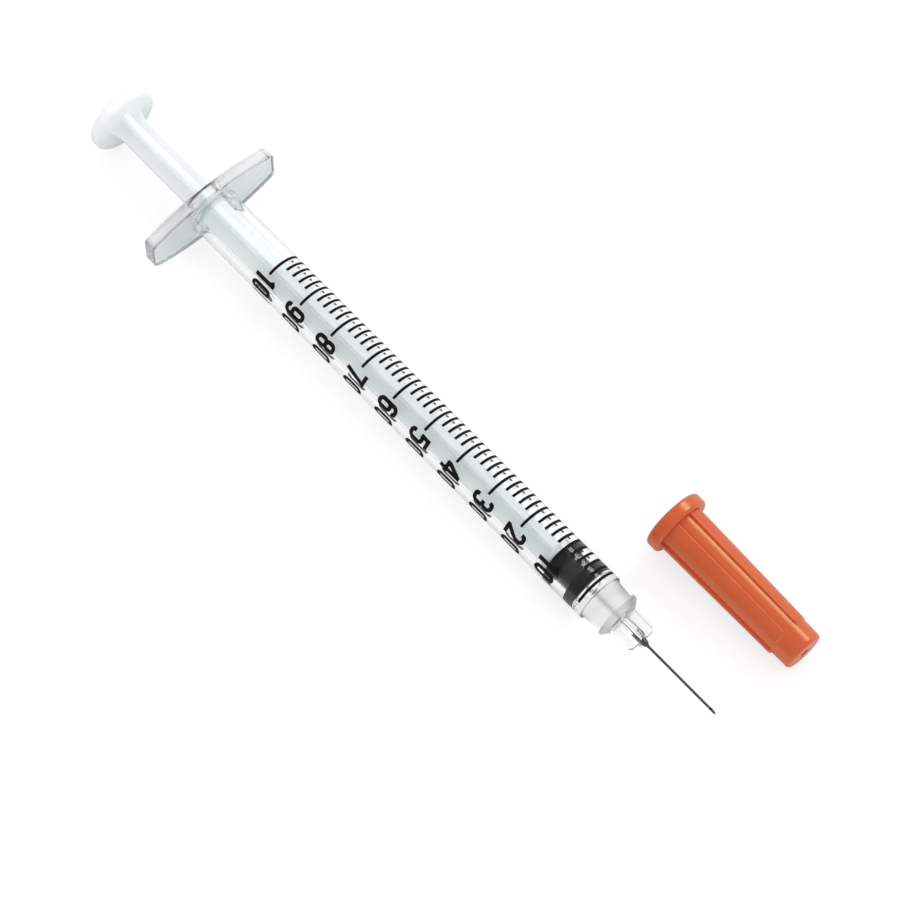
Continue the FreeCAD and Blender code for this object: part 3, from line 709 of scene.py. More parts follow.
@dataclass
class Barrel:
    """The clear moulding: finger flange, tube, nose, shield ring and finned hub."""

    tube_radius: float = 3.25
    bore_radius: float = 2.375
    tube_end: float = 69.68
    funnel_depth: float = 0.5
    funnel_width: float = 0.35
    ring_rear: float = -0.75
    ring_width: float = 0.5
    ring_height: float = 0.1
    flange_width: float = 19.8
    flange_height: float = 8.6
    flange_thickness: float = 1.75
    flange_side_radius: float = 28.0
    flange_corner_radius: float = 1.3
    flange_corner_room: float = 1.25
    flange_edge: float = 0.2
    flange_faces: int = 14
    flange_edge_faces: int = 3
    root_radius: float = 0.5
    root_sink: float = 0.01
    tube_edge: float = 0.18
    skirt_edge: float = 0.08
    ring_edge: float = 0.14
    skirt_length: float = 2.55
    skirt_rear_radius: float = 2.975
    skirt_front_radius: float = 2.725
    shield_ring_radius: float = 3.12
    shield_ring_width: float = 0.45
    cone_length: float = 0.75
    cone_radius: float = 2.15
    hub_length: float = 3.5
    core_radius: float = 0.75
    fin_span: float = 3.95
    fin_thickness: float = 0.55
    fin_corner: float = 0.35
    fin_edge: float = 0.07
    fin_edge_faces: int = 2
    floor: float = 68.83
    floor_cone: float = 0.7
    floor_radius: float = 0.95
    outlet_radius: float = 0.45
    outlet_length: float = 0.6
    seat_radius: float = 0.168
    well_radius: float = 0.475
    well_depth: float = 1.3
    steps: int = 192

    @property
    def ring_end(self) -> float:
        """Where the cone in front of the shield ring ends."""
        return self.tube_end + self.skirt_length + self.shield_ring_width + self.cone_length

    @property
    def hub_end(self) -> float:
        """Where the hub ends and the needle leaves it."""
        return self.ring_end + self.hub_length

    def outside(self) -> list[Corner]:
        """The outline of everything that is round, from inside the flange to the hub's end."""
        ring_start = self.tube_end + self.skirt_length
        return [
            Corner(-self.flange_thickness / 2, 0),
            Corner(-self.flange_thickness / 2, self.tube_radius + 2 * self.root_radius),
            Corner(-self.root_sink, self.tube_radius + 2 * self.root_radius),
            Corner(-self.root_sink, self.tube_radius, self.root_radius),
            Corner(self.tube_end, self.tube_radius, self.tube_edge),
            Corner(self.tube_end, self.skirt_rear_radius, CRISP),
            Corner(ring_start, self.skirt_front_radius, self.skirt_edge),
            Corner(ring_start, self.shield_ring_radius, CRISP),
            Corner(ring_start + self.shield_ring_width, self.shield_ring_radius, self.ring_edge),
            Corner(self.ring_end, self.cone_radius, SOFT),
            Corner(self.ring_end, self.core_radius, EASED),
            Corner(self.hub_end, self.core_radius, CRISP),
            Corner(self.hub_end, 0),
        ]

    def inside(self) -> list[Corner]:
        """The outline of the bore, the outlet, the needle's seat and the glue well."""
        mouth = -self.flange_thickness
        slope = self.funnel_width / self.funnel_depth
        return [
            Corner(mouth - OUTSIDE, 0),
            Corner(mouth - OUTSIDE, self.bore_radius + self.funnel_width + slope * OUTSIDE),
            Corner(mouth + self.funnel_depth, self.bore_radius, SOFT),
            Corner(self.ring_rear, self.bore_radius, EASED),
            Corner(self.ring_rear + self.ring_width / 2, self.bore_radius - self.ring_height, EASED),
            Corner(self.ring_rear + self.ring_width, self.bore_radius, EASED),
            Corner(self.floor - self.floor_cone, self.bore_radius, CRISP),
            Corner(self.floor, self.floor_radius, CRISP),
            Corner(self.floor, self.outlet_radius, HAIRLINE),
            Corner(self.floor + self.outlet_length, self.outlet_radius, HAIRLINE),
            Corner(self.floor + self.outlet_length, self.seat_radius),
            Corner(self.hub_end - self.well_depth, self.seat_radius),
            Corner(self.hub_end - self.well_depth, self.well_radius, HAIRLINE),
            Corner(self.hub_end + OUTSIDE, self.well_radius),
            Corner(self.hub_end + OUTSIDE, 0),
        ]

    def flange_outline(self) -> list[Vector]:
        """The finger flange from behind: two long arcs, two straight ends, rounded corners."""
        half = self.flange_width / 2
        drop = self.flange_side_radius - self.flange_height / 2
        reach = math.asin(half / self.flange_side_radius)
        inner = reach - self.flange_corner_room * self.flange_corner_radius / self.flange_side_radius
        angles = [-inner + 2 * inner * step / self.flange_faces for step in range(self.flange_faces + 1)]
        side = [Corner(self.flange_side_radius * math.sin(a), self.flange_side_radius * math.cos(a) - drop)
                for a in angles]
        end_height = self.flange_side_radius * math.cos(reach) - drop
        top = [Corner(-half, 0), Corner(-half, end_height, self.flange_corner_radius)] + side
        top += [Corner(half, end_height, self.flange_corner_radius), Corner(half, 0)]
        points = rounded(top)[1:-1]
        under = [Vector((-p.x, -p.y, 0)) for p in points]
        return [Vector((-self.flange_thickness, p.x, p.y)) for p in points + under]

    def build(self, seat: Seat, material: bpy.types.Material) -> bpy.types.Object:
        """Models the moulding and puts it in place.

        Args:
            seat: The syringe's axis.
            material: The clear plastic.

        Returns:
            The barrel.
        """
        flange = pulled("flange", self.flange_outline(), Vector((self.flange_thickness, 0, 0)))
        round_edges(flange, lambda edge: abs(edge.verts[0].co.x - edge.verts[1].co.x) < MERGE,
                    self.flange_edge, self.flange_edge_faces)
        barrel = turned("barrel_moulding", self.outside(), self.steps)
        combine(barrel, flange, Cut.ADD)
        for turn in (0, 90):
            combine(barrel, self.fin(turn), Cut.ADD)
        combine(barrel, turned("bore", self.inside(), self.steps), Cut.REMOVE)
        smooth(barrel)
        return finish_piece(barrel, seat, 0.0, Body.BARREL, "barrel", material)

    def fin(self, degrees: float) -> bpy.types.Object:
        """Two opposite fins of the hub in one plate.

        Args:
            degrees: How far the plate is turned about the axis.

        Returns:
            The plate.
        """
        half = self.fin_span / 2
        front = self.hub_end
        rear = self.ring_end - self.cone_length / 2
        corners = [(rear, -half), (front - self.fin_corner, -half), (front, self.fin_corner - half),
                   (front, half - self.fin_corner), (front - self.fin_corner, half), (rear, half)]
        outline = [Vector((x, y, -self.fin_thickness / 2)) for x, y in corners]
        plate = pulled("fin", outline, Vector((0, 0, self.fin_thickness)))
        round_edges(plate, lambda edge: max(v.co.x for v in edge.verts) > rear + MERGE, self.fin_edge,
                    self.fin_edge_faces)
        return rolled(plate, degrees)


class Closed(Enum):
    """Whether a pen line returns to its start."""

    NO = False
    YES = True


@dataclass(frozen=True)
class PenLine:
    """One line of a figure: the pen's path, in millimetres from the figure's middle."""

    closed: Closed
    corners: tuple[Corner, ...]

    def path(self) -> list[Vector]:
        """The points of the path."""
        points = rounded(self.corners)
        return points[:-1] if self.closed is Closed.YES else points

    def upside_down(self) -> "PenLine":
        """The same line turned by half a turn."""
        return PenLine(self.closed, tuple(Corner(-c.along, -c.across, c.rounding) for c in self.corners))

    def side(self, distance: float) -> list[Vector]:
        """The path moved sideways and mitred at its corners.

        Args:
            distance: How far it is moved, to the left where it is positive.

        Returns:
            The moved points.
        """
        points = self.path()
        ends = (points[-1], points[0]) if self.closed is Closed.YES else (points[0], points[-1])
        moved = []
        for before, here, after in zip([ends[0]] + points[:-1], points, points[1:] + [ends[1]]):
            legs = [leg.normalized() for leg in (here - before, after - here) if leg.length > MERGE]
            normals = [Vector((-leg.y, leg.x, 0)) for leg in legs]
            middle = sum(normals, Vector()).normalized()
            moved.append(here + middle * distance / middle.dot(normals[0]))
        return moved

    def drawn(self, name: str, width: float) -> bpy.types.Object:
        """The line as a flat band of faces.

        Args:
            name: The new object's name.
            width: The pen's width.

        Returns:
            The band.
        """
        closed = self.closed is Closed.YES
        left = trace(name, self.side(width / 2), closed)
        right = trace(name, self.side(-width / 2), closed)
        band = joined([right, left])
        bpy.ops.object.mode_set(mode="EDIT")
        bpy.ops.mesh.select_all(action="SELECT")
        bpy.ops.mesh.bridge_edge_loops()
        bpy.ops.object.mode_set(mode="OBJECT")
        return band


def loop(*corners: tuple[float, ...]) -> PenLine:
    """A closed pen line through corners of along, across and rounding."""
    return PenLine(Closed.YES, tuple(Corner(*corner) for corner in corners))


def stroke(*corners: tuple[float, ...]) -> PenLine:
    """An open pen line through corners of along, across and rounding."""
    return PenLine(Closed.NO, tuple(Corner(*corner) for corner in corners))


SIX = (
    loop((0.52, -0.4), (0.52, 0.36, 0.52), (-0.52, 0.36, 0.52), (-0.52, -1.33, 0.52), (0.52, -1.33, 0.52),
         (0.52, -0.4)),
    stroke((-0.52, -0.5), (-0.52, 1.33, 0.52), (0.52, 1.33, 0.52), (0.52, 0.88)),
)
FIGURES = {
    "0": (loop((0.46, 0), (0.46, 1.33, 0.46), (-0.46, 1.33, 0.46), (-0.46, -1.33, 0.46), (0.46, -1.33, 0.46),
               (0.46, 0)),),
    "1": (stroke((0.14, -1.6), (0.14, 1.6)), stroke((-0.36, 1.0), (0.14, 1.36))),
    "2": (stroke((-0.52, 0.8), (-0.52, 1.33, 0.52), (0.52, 1.33, 0.52), (0.52, 0.3, 0.45), (-0.46, -1.28)),
          stroke((-0.72, -1.33), (0.79, -1.33))),
    "3": (stroke((-0.52, 0.86), (-0.52, 1.33, 0.5), (0.49, 1.33, 0.5), (0.49, 0.06, 0.52), (-0.2, 0.06)),
          stroke((-0.2, 0.06), (0.52, 0.06, 0.52), (0.52, -1.33, 0.52), (-0.52, -1.33, 0.5), (-0.52, -0.86))),
    "4": (stroke((0.36, -1.6), (0.36, 1.6)), stroke((-0.79, -0.66), (0.79, -0.66)),
          stroke((-0.6, -0.56), (0.26, 1.46))),
    "5": (stroke((0.74, 1.33), (-0.46, 1.33), (-0.52, 0.1)),
          stroke((-0.5, 0.2), (-0.3, 0.44, 0.2), (0.52, 0.44, 0.52), (0.52, -1.33, 0.52),
                 (-0.52, -1.33, 0.52), (-0.52, -0.8))),
    "6": SIX,
    "7": (stroke((-0.79, 1.33), (0.79, 1.33)), stroke((0.5, 1.25), (-0.1, -1.6))),
    "8": (loop((0.49, 0.75), (0.49, 1.33, 0.48), (-0.49, 1.33, 0.48), (-0.49, 0.05, 0.48), (0.49, 0.05, 0.48),
               (0.49, 0.75)),
          loop((0.52, -0.7), (0.52, 0.05, 0.5), (-0.52, 0.05, 0.5), (-0.52, -1.33, 0.52), (0.52, -1.33, 0.52),
               (0.52, -0.7))),
    "9": tuple(line.upside_down() for line in SIX),
}


@dataclass
class ScalePrint:
    """The printed scale: a line every two units, a long one every ten, and plain numbers."""

    radius: float = 3.25
    ink: float = 0.024
    lift: float = 0.003
    hundred_line: float = 12.28
    length: float = 56.43
    line_width: float = 0.37
    zero_width: float = 0.36
    upper: float = 62.0
    long_lower: float = -29.5
    zero_lower: float = -58.0
    short_lower: float = 3.5
    decades: int = 10
    lines_per_decade: int = 5
    pen: float = 0.54
    figure_pitch: float = 2.05
    one_pitch: float = 1.175
    figure_start: float = -32.7
    strip: float = 0.25
    line_faces: int = 8
    degrees_a_face: float = 4.0
    numbers: tuple[int, ...] = (10, 20, 30, 40, 50, 60, 70, 80, 90, 100)

    def line(self, name: str, place: float, width: float, lower: float) -> bpy.types.Object:
        """One printed line bent round the tube.

        Args:
            name: The new object's name.
            place: Where it lies along the tube.
            width: Its width along the tube.
            lower: The angle from the top at which it ends.

        Returns:
            The line.
        """
        inner = self.radius + self.lift
        corners = [(-width / 2, inner), (-width / 2, inner + self.ink), (width / 2, inner + self.ink),
                   (width / 2, inner)]
        start = math.radians(lower)
        section = [Vector((place + x, r * math.sin(start), r * math.cos(start))) for x, r in corners]
        sweep = self.upper - lower
        return swept(name, section, sweep, max(self.line_faces, round(sweep / self.degrees_a_face)))

    def repeated(self, line: bpy.types.Object, count: int, spacing: float) -> bpy.types.Object:
        """Repeats what is there towards the needle.

        Args:
            line: The first line or group of lines.
            count: How many there are in all.
            spacing: How far apart they are.

        Returns:
            The same object with all its copies.
        """
        pick_up(line)
        modifier = line.modifiers.new("scale", "ARRAY")
        modifier.count = count
        modifier.use_relative_offset = False
        modifier.use_constant_offset = True
        modifier.constant_offset_displace = (spacing, 0, 0)
        bpy.ops.object.modifier_apply(modifier=modifier.name)
        return line

    def lines(self) -> bpy.types.Object:
        """All the lines in one piece: ten of a long and four short ones, and the wide one at zero."""
        decade = self.length / self.decades
        step = decade / self.lines_per_decade
        short = self.line("short_lines", self.hundred_line + step, self.line_width, self.short_lower)
        self.repeated(self.repeated(short, self.lines_per_decade - 1, step), self.decades, decade)
        long = self.line("long_lines", self.hundred_line, self.line_width, self.long_lower)
        self.repeated(long, self.decades, decade)
        zero = self.line("scale_lines", self.hundred_line + self.length, self.zero_width, self.zero_lower)
        return joined([zero, short, long])

    def number(self, value: int) -> bpy.types.Object:
        """One printed number bent round the tube, its top towards the needle.

        Args:
            value: The number.

        Returns:
            The number as a thin closed mesh.
        """
        bands = []
        reach = 0.0
        for figure in str(value):
            pitch = self.one_pitch if figure == "1" else self.figure_pitch
            for line in FIGURES[figure]:
                band = line.drawn("number_%d" % value, self.pen)
                band.data.transform(Matrix.Translation((reach + pitch / 2, 0, 0)))
                bands.append(band)
            reach += pitch
        number = joined(bands)
        bpy.ops.object.mode_set(mode="EDIT")
        for step in range(1, math.ceil(reach / self.strip)):
            bpy.ops.mesh.select_all(action="SELECT")
            bpy.ops.mesh.bisect(plane_co=(step * self.strip, 0, 0), plane_no=(1, 0, 0))
        bpy.ops.mesh.select_all(action="SELECT")
        bpy.ops.mesh.extrude_region_move(TRANSFORM_OT_translate={"value": (0, 0, self.ink)})
        face_outwards()
        place = self.hundred_line + self.length * (1 - value / 100)
        for vertex in number.data.vertices:
            depth = self.radius + self.lift + vertex.co.z
            angle = math.radians(self.figure_start) - vertex.co.x / self.radius
            vertex.co = (place + vertex.co.y, depth * math.sin(angle), depth * math.cos(angle))
        return number

    def build(self, seat: Seat, material: bpy.types.Material) -> list[bpy.types.Object]:
        """Makes the lines and the numbers and puts them on the tube.

        Args:
            seat: The syringe's axis.
            material: The ink.

        Returns:
            The lines and the numbers.
        """
        lines = self.lines()
        figures = joined([self.number(value) for value in self.numbers])
        figures.name = "scale_numbers"
        finish_piece(lines, seat, 0.0, Body.BARREL, "graduation_marks", material)
        finish_piece(figures, seat, 0.0, Body.BARREL, "", material)
        return [lines, figures]


@dataclass
class Needle:
    """The steel tube with its ground point, and the glue that holds it."""

    radius: float = 0.165
    bore_radius: float = 0.09
    start: float = 69.13
    reach: float = 12.35
    bevel_length: float = 1.4
    side_grind: float = 0.45
    side_angle: float = 38.0
    well_depth: float = 1.3
    well_radius: float = 0.470
    bead_length: float = 1.1
    bead_shoulder: float = 0.5
    bead_slope: float = 0.85
    bead_radius: float = 0.44
    bead_tip: float = 0.04
    bead_round: float = 0.35
    bead_clearance: float = 0.001
    wheel_reach: float = 0.495
    steps: int = 48

    def tube(self, end: float) -> bpy.types.Object:
        """The tube, ground to its point.

        Args:
            end: Where the point is.

        Returns:
            The tube, starting at zero on its axis.
        """
        length = end - self.start
        tube = turned("needle_tube", rod_outline(0, length, self.radius), self.steps)
        bore = turned("needle_bore", rod_outline(-OUTSIDE, length + OUTSIDE, self.bore_radius),
                      self.steps // 2)
        combine(tube, bore, Cut.REMOVE)
        combine(tube, self.grind(length, self.bevel_length, 0.0), Cut.REMOVE)
        for side in (-1, 1):
            combine(tube, self.grind(length, self.side_grind, side * self.side_angle), Cut.REMOVE)
        return tube

    def grind(self, length: float, run: float, degrees: float) -> bpy.types.Object:
        """The wedge that a grinding wheel takes off the point.

        Args:
            length: The tube's length.
            run: How long the ground face is.
            degrees: How far the face is turned about the axis.

        Returns:
            The wedge.
        """
        r = self.radius
        wide = self.wheel_reach
        corners = [(length, -r), (length - run, r), (length - run, wide), (length + run, wide),
                   (length + run, -r)]
        wedge = pulled("grind", [Vector((x, -wide, z)) for x, z in corners], Vector((0, 2 * wide, 0)))
        return rolled(wedge, degrees)

    def bead(self) -> bpy.types.Object:
        """The glue in the well and the drop that runs out along the needle."""
        corners = [
            Corner(0, self.radius + self.bead_clearance), Corner(0, self.well_radius),
            Corner(self.well_depth, self.well_radius, HAIRLINE),
            Corner(self.well_depth + self.bead_shoulder, self.bead_radius, self.bead_round),
            Corner(self.well_depth + self.bead_slope, self.radius + self.bead_tip, SOFT),
            Corner(self.well_depth + self.bead_length, self.radius + self.bead_tip / 2),
            Corner(self.well_depth + self.bead_length, self.radius + self.bead_clearance),
        ]
        return ringed("glue_bead", corners, self.steps)

    def build(self, seat: Seat, hub_end: float, steel: bpy.types.Material,
              glue: bpy.types.Material) -> list[bpy.types.Object]:
        """Makes the needle and its glue and puts them in the hub.

        Args:
            seat: The syringe's axis.
            hub_end: Where the hub ends.
            steel: The needle's finish.
            glue: The glue's finish.

        Returns:
            The tube and the bead.
        """
        tube = self.tube(hub_end + self.reach)
        smooth(tube)
        bead = self.bead()
        smooth(bead)
        finish_piece(tube, seat, self.start, Body.BARREL, "needle", steel)
        finish_piece(bead, seat, hub_end - self.well_depth, Body.BARREL, "needle_adhesive", glue)
        return [tube, bead]


@dataclass
class PlungerRod:
    """The frosted rod: thumb disc, cross-shaped stem, front plate and the head in the stopper."""

    disc_radius: float = 4.71
    disc_thickness: float = 1.5
    disc_edge: float = 0.5
    dish_depth: float = 0.2
    rim_width: float = 0.9
    rod_length: float = 79.71
    rib_span: float = 3.9
    rib_thickness: float = 0.8
    rib_edge: float = 0.1
    flare_length: float = 1.6
    flare_span: float = 5.0
    flare_round: float = 2.0
    rib_edge_faces: int = 2
    core_radius: float = 0.55
    plate_radius: float = 2.2
    plate_thickness: float = 0.8
    plate_edge: float = 0.12
    neck_radius: float = 0.85
    neck_length: float = 1.3
    head_radius: float = 1.3
    head_length: float = 2.2
    head_cone: float = 1.0
    head_tip: float = 0.65
    steps: int = 96

    def outline(self) -> list[Corner]:
        """The outline of all that is round on the rod."""
        seat = self.disc_thickness + self.rod_length
        plate = seat - self.plate_thickness
        rim = self.disc_radius - self.rim_width
        return [
            Corner(self.dish_depth, 0), Corner(self.dish_depth, rim, ROUND),
            Corner(0, rim + self.dish_depth, ROUND), Corner(0, self.disc_radius, self.disc_edge),
            Corner(self.disc_thickness, self.disc_radius, self.disc_edge),
            Corner(self.disc_thickness, self.core_radius, SOFT),
            Corner(plate, self.core_radius, SOFT), Corner(plate, self.plate_radius, self.plate_edge),
            Corner(seat, self.plate_radius, self.plate_edge), Corner(seat, self.neck_radius, CRISP),
            Corner(seat + self.neck_length, self.neck_radius, CRISP),
            Corner(seat + self.neck_length, self.head_radius, CRISP),
            Corner(seat + self.neck_length + self.head_length - self.head_cone, self.head_radius, SOFT),
            Corner(seat + self.neck_length + self.head_length, self.head_tip, SOFT),
            Corner(seat + self.neck_length + self.head_length, 0),
        ]

    def web(self, degrees: float) -> bpy.types.Object:
        """Two opposite ribs of the stem in one plate.

        Args:
            degrees: How far the plate is turned about the axis.

        Returns:
            The plate.
        """
        rear = self.disc_thickness / 2
        front = self.disc_thickness + self.rod_length - self.plate_thickness / 2
        wide = self.flare_span / 2
        slim = self.rib_span / 2
        flare = self.disc_thickness + self.flare_length
        side = [Corner(rear, 0), Corner(rear, wide), Corner(self.disc_thickness, wide, ROUND),
                Corner(flare, slim, self.flare_round), Corner(front, slim), Corner(front, 0)]
        upper = rounded(side)[1:-1]
        lower = [Vector((point.x, -point.y, 0)) for point in reversed(upper)]
        lift = Vector((0, 0, -self.rib_thickness / 2))
        plate = pulled("web", [point + lift for point in upper + lower], Vector((0, 0, self.rib_thickness)))
        round_edges(plate, lambda edge: abs(edge.verts[0].co.z - edge.verts[1].co.z) < MERGE
                    and min(abs(v.co.y) for v in edge.verts) > slim - LENGTH_SLACK,
                    self.rib_edge, self.rib_edge_faces)
        return rolled(plate, degrees)

    def build(self, seat: Seat, material: bpy.types.Material) -> bpy.types.Object:
        """Models the rod and puts it in the barrel.

        Args:
            seat: The rod's axis, from the rear of the thumb disc.
            material: The frosted plastic.

        Returns:
            The rod.
        """
        rod = turned("plunger_rod_moulding", self.outline(), self.steps)
        for turn in (0, 90):
            combine(rod, self.web(turn), Cut.ADD)
        smooth(rod)
        return finish_piece(rod, seat, 0.0, Body.PLUNGER, "plunger_rod", material)


@dataclass
class Stopper:
    """The rubber stopper: two ribs that press on the bore, a waist between and a conical front."""

    length: float = 6.0
    rib_radius: float = 2.379
    waist_radius: float = 2.175
    rear_rib: float = 1.6
    front_rib: float = 1.65
    lead: float = 0.2
    rib_slope: float = 0.1
    cone_length: float = 0.7
    tip_radius: float = 0.95
    neck_radius: float = 0.88
    neck_length: float = 1.27
    head_radius: float = 1.33
    head_end: float = 3.53
    head_cone: float = 1.03
    head_tip: float = 0.68
    steps: int = 96

    def outline(self) -> list[Corner]:
        """The stopper's section, with the hollow that holds the rod's head."""
        front = self.length - self.cone_length
        return [
            Corner(0, self.neck_radius), Corner(0, self.rib_radius, self.lead),
            Corner(self.rear_rib, self.rib_radius, self.lead),
            Corner(self.rear_rib + self.rib_slope, self.waist_radius, CRISP),
            Corner(front - self.front_rib - self.rib_slope, self.waist_radius, CRISP),
            Corner(front - self.front_rib, self.rib_radius, self.lead),
            Corner(front, self.rib_radius, CRISP),
            Corner(self.length, self.tip_radius, EASED), Corner(self.length, 0),
            Corner(self.head_end, 0), Corner(self.head_end, self.head_tip),
            Corner(self.head_end - self.head_cone, self.head_radius),
            Corner(self.neck_length, self.head_radius), Corner(self.neck_length, self.neck_radius),
        ]

    def build(self, seat: Seat, along: float, material: bpy.types.Material) -> bpy.types.Object:
        """Models the stopper and puts it on the rod.

        Args:
            seat: The rod's axis.
            along: Where the stopper starts on it.
            material: The rubber.

        Returns:
            The stopper.
        """
        stopper = ringed("stopper_rubber", self.outline(), self.steps)
        smooth(stopper)
        return finish_piece(stopper, seat, along, Body.PLUNGER, "stopper", material)


@dataclass
class NeedleShield:
    """The orange shield: rounded collar, tapered body, raised ribs and a closed end."""

    length: float = 22.85
    collar_radius: float = 4.175
    collar_length: float = 1.85
    collar_edge: float = 0.42
    rear_radius: float = 2.95
    front_radius: float = 2.7
    end_edge: float = 0.45
    gate_radius: float = 0.65
    gate_depth: float = 0.25
    rib_rear: float = 3.35
    rib_front: float = 3.022
    rib_ramp: float = 0.35
    rib_reach: float = 20.2
    rib_angle: float = 38.0
    rib_edge: float = 0.14
    rib_count: int = 5
    rib_root: float = 0.35
    rib_faces: int = 12
    rib_edge_faces: int = 3
    ring_depth: float = 0.55
    ring_radius: float = 3.22
    cone_length: float = 0.75
    cone_radius: float = 2.25
    hub_radius: float = 2.025
    hub_length: float = 3.5
    step_length: float = 0.6
    needle_room: float = 14.35
    tube_radius: float = 1.3
    steps: int = 128

    @property
    def hub_rear(self) -> float:
        """How deep the hollow's hub bore starts."""
        return self.ring_depth + self.cone_length

    def outside(self) -> list[Corner]:
        """The outline of collar, body and closed end."""
        return [
            Corner(0, 0), Corner(0, self.collar_radius, self.collar_edge),
            Corner(self.collar_length, self.collar_radius, self.collar_edge),
            Corner(self.collar_length, self.rear_radius, EASED),
            Corner(self.length, self.front_radius, self.end_edge),
            Corner(self.length, self.gate_radius, CRISP),
            Corner(self.length - self.gate_depth, self.gate_radius, CRISP),
            Corner(self.length - self.gate_depth, 0),
        ]

    def inside(self) -> list[Corner]:
        """The outline of the hollow that goes over ring, hub and needle."""
        hub_end = self.hub_rear + self.hub_length
        end = hub_end + self.needle_room
        return [
            Corner(-OUTSIDE, 0), Corner(-OUTSIDE, self.ring_radius),
            Corner(self.ring_depth, self.ring_radius, HAIRLINE),
            Corner(self.hub_rear, self.cone_radius, HAIRLINE), Corner(self.hub_rear, self.hub_radius, CRISP),
            Corner(hub_end, self.hub_radius, CRISP),
            Corner(hub_end + self.step_length, self.tube_radius, CRISP),
            Corner(end, self.tube_radius, ROUND), Corner(end, 0),
        ]

    def rib(self) -> bpy.types.Object:
        """One raised rib, straight down from the axis, with rounded long edges and end."""
        root = self.front_radius - self.rib_root
        half = self.rib_angle / 2
        corners = [
            Corner(self.collar_length / 2, root), Corner(self.collar_length / 2, self.rib_rear),
            Corner(self.rib_reach - self.rib_ramp, self.rib_front, self.rib_edge),
            Corner(self.rib_reach, self.rib_front - self.rib_ramp, self.rib_edge),
            Corner(self.rib_reach, root),
        ]
        turn = Matrix.Rotation(math.radians(-90 + half), 4, "X")
        section = [turn @ point for point in rounded(corners)]
        rib = swept("rib", section, self.rib_angle, self.rib_faces)
        round_edges(rib, self.is_long_edge, self.rib_edge, self.rib_edge_faces)
        return rib

    def is_long_edge(self, edge: bmesh.types.BMEdge) -> bool:
        """Says whether an edge runs along a rib's outer side or round its end, at either flank."""
        half = math.radians(self.rib_angle / 2)
        for vertex in edge.verts:
            angle = math.atan2(vertex.co.y, -vertex.co.z)
            if abs(abs(angle) - half) > ANGLE_SLACK:
                return False
        radius = min(math.hypot(vertex.co.y, vertex.co.z) for vertex in edge.verts)
        return radius > self.front_radius

    def build(self, seat: Seat, material: bpy.types.Material) -> bpy.types.Object:
        """Models the shield and lays it beside the syringe.

        Args:
            seat: The shield's axis, from its open end.
            material: The orange plastic.

        Returns:
            The shield.
        """
        shield = turned("needle_shield_moulding", self.outside(), self.steps)
        first = self.rib()
        for index in range(1, self.rib_count):
            combine(shield, rolled(copied(first), index * 360 / self.rib_count), Cut.ADD)
        combine(shield, first, Cut.ADD)
        combine(shield, turned("hollow", self.inside(), self.steps), Cut.REMOVE)
        smooth(shield)
        return finish_piece(shield, seat, 0.0, Body.BARREL, "needle_shield", material)


# Studio


@dataclass(frozen=True)
class Lamp:
    """A soft rectangular lamp aimed at the object."""

    name: str
    place: tuple[float, float, float]
    size: tuple[float, float]
    power: float


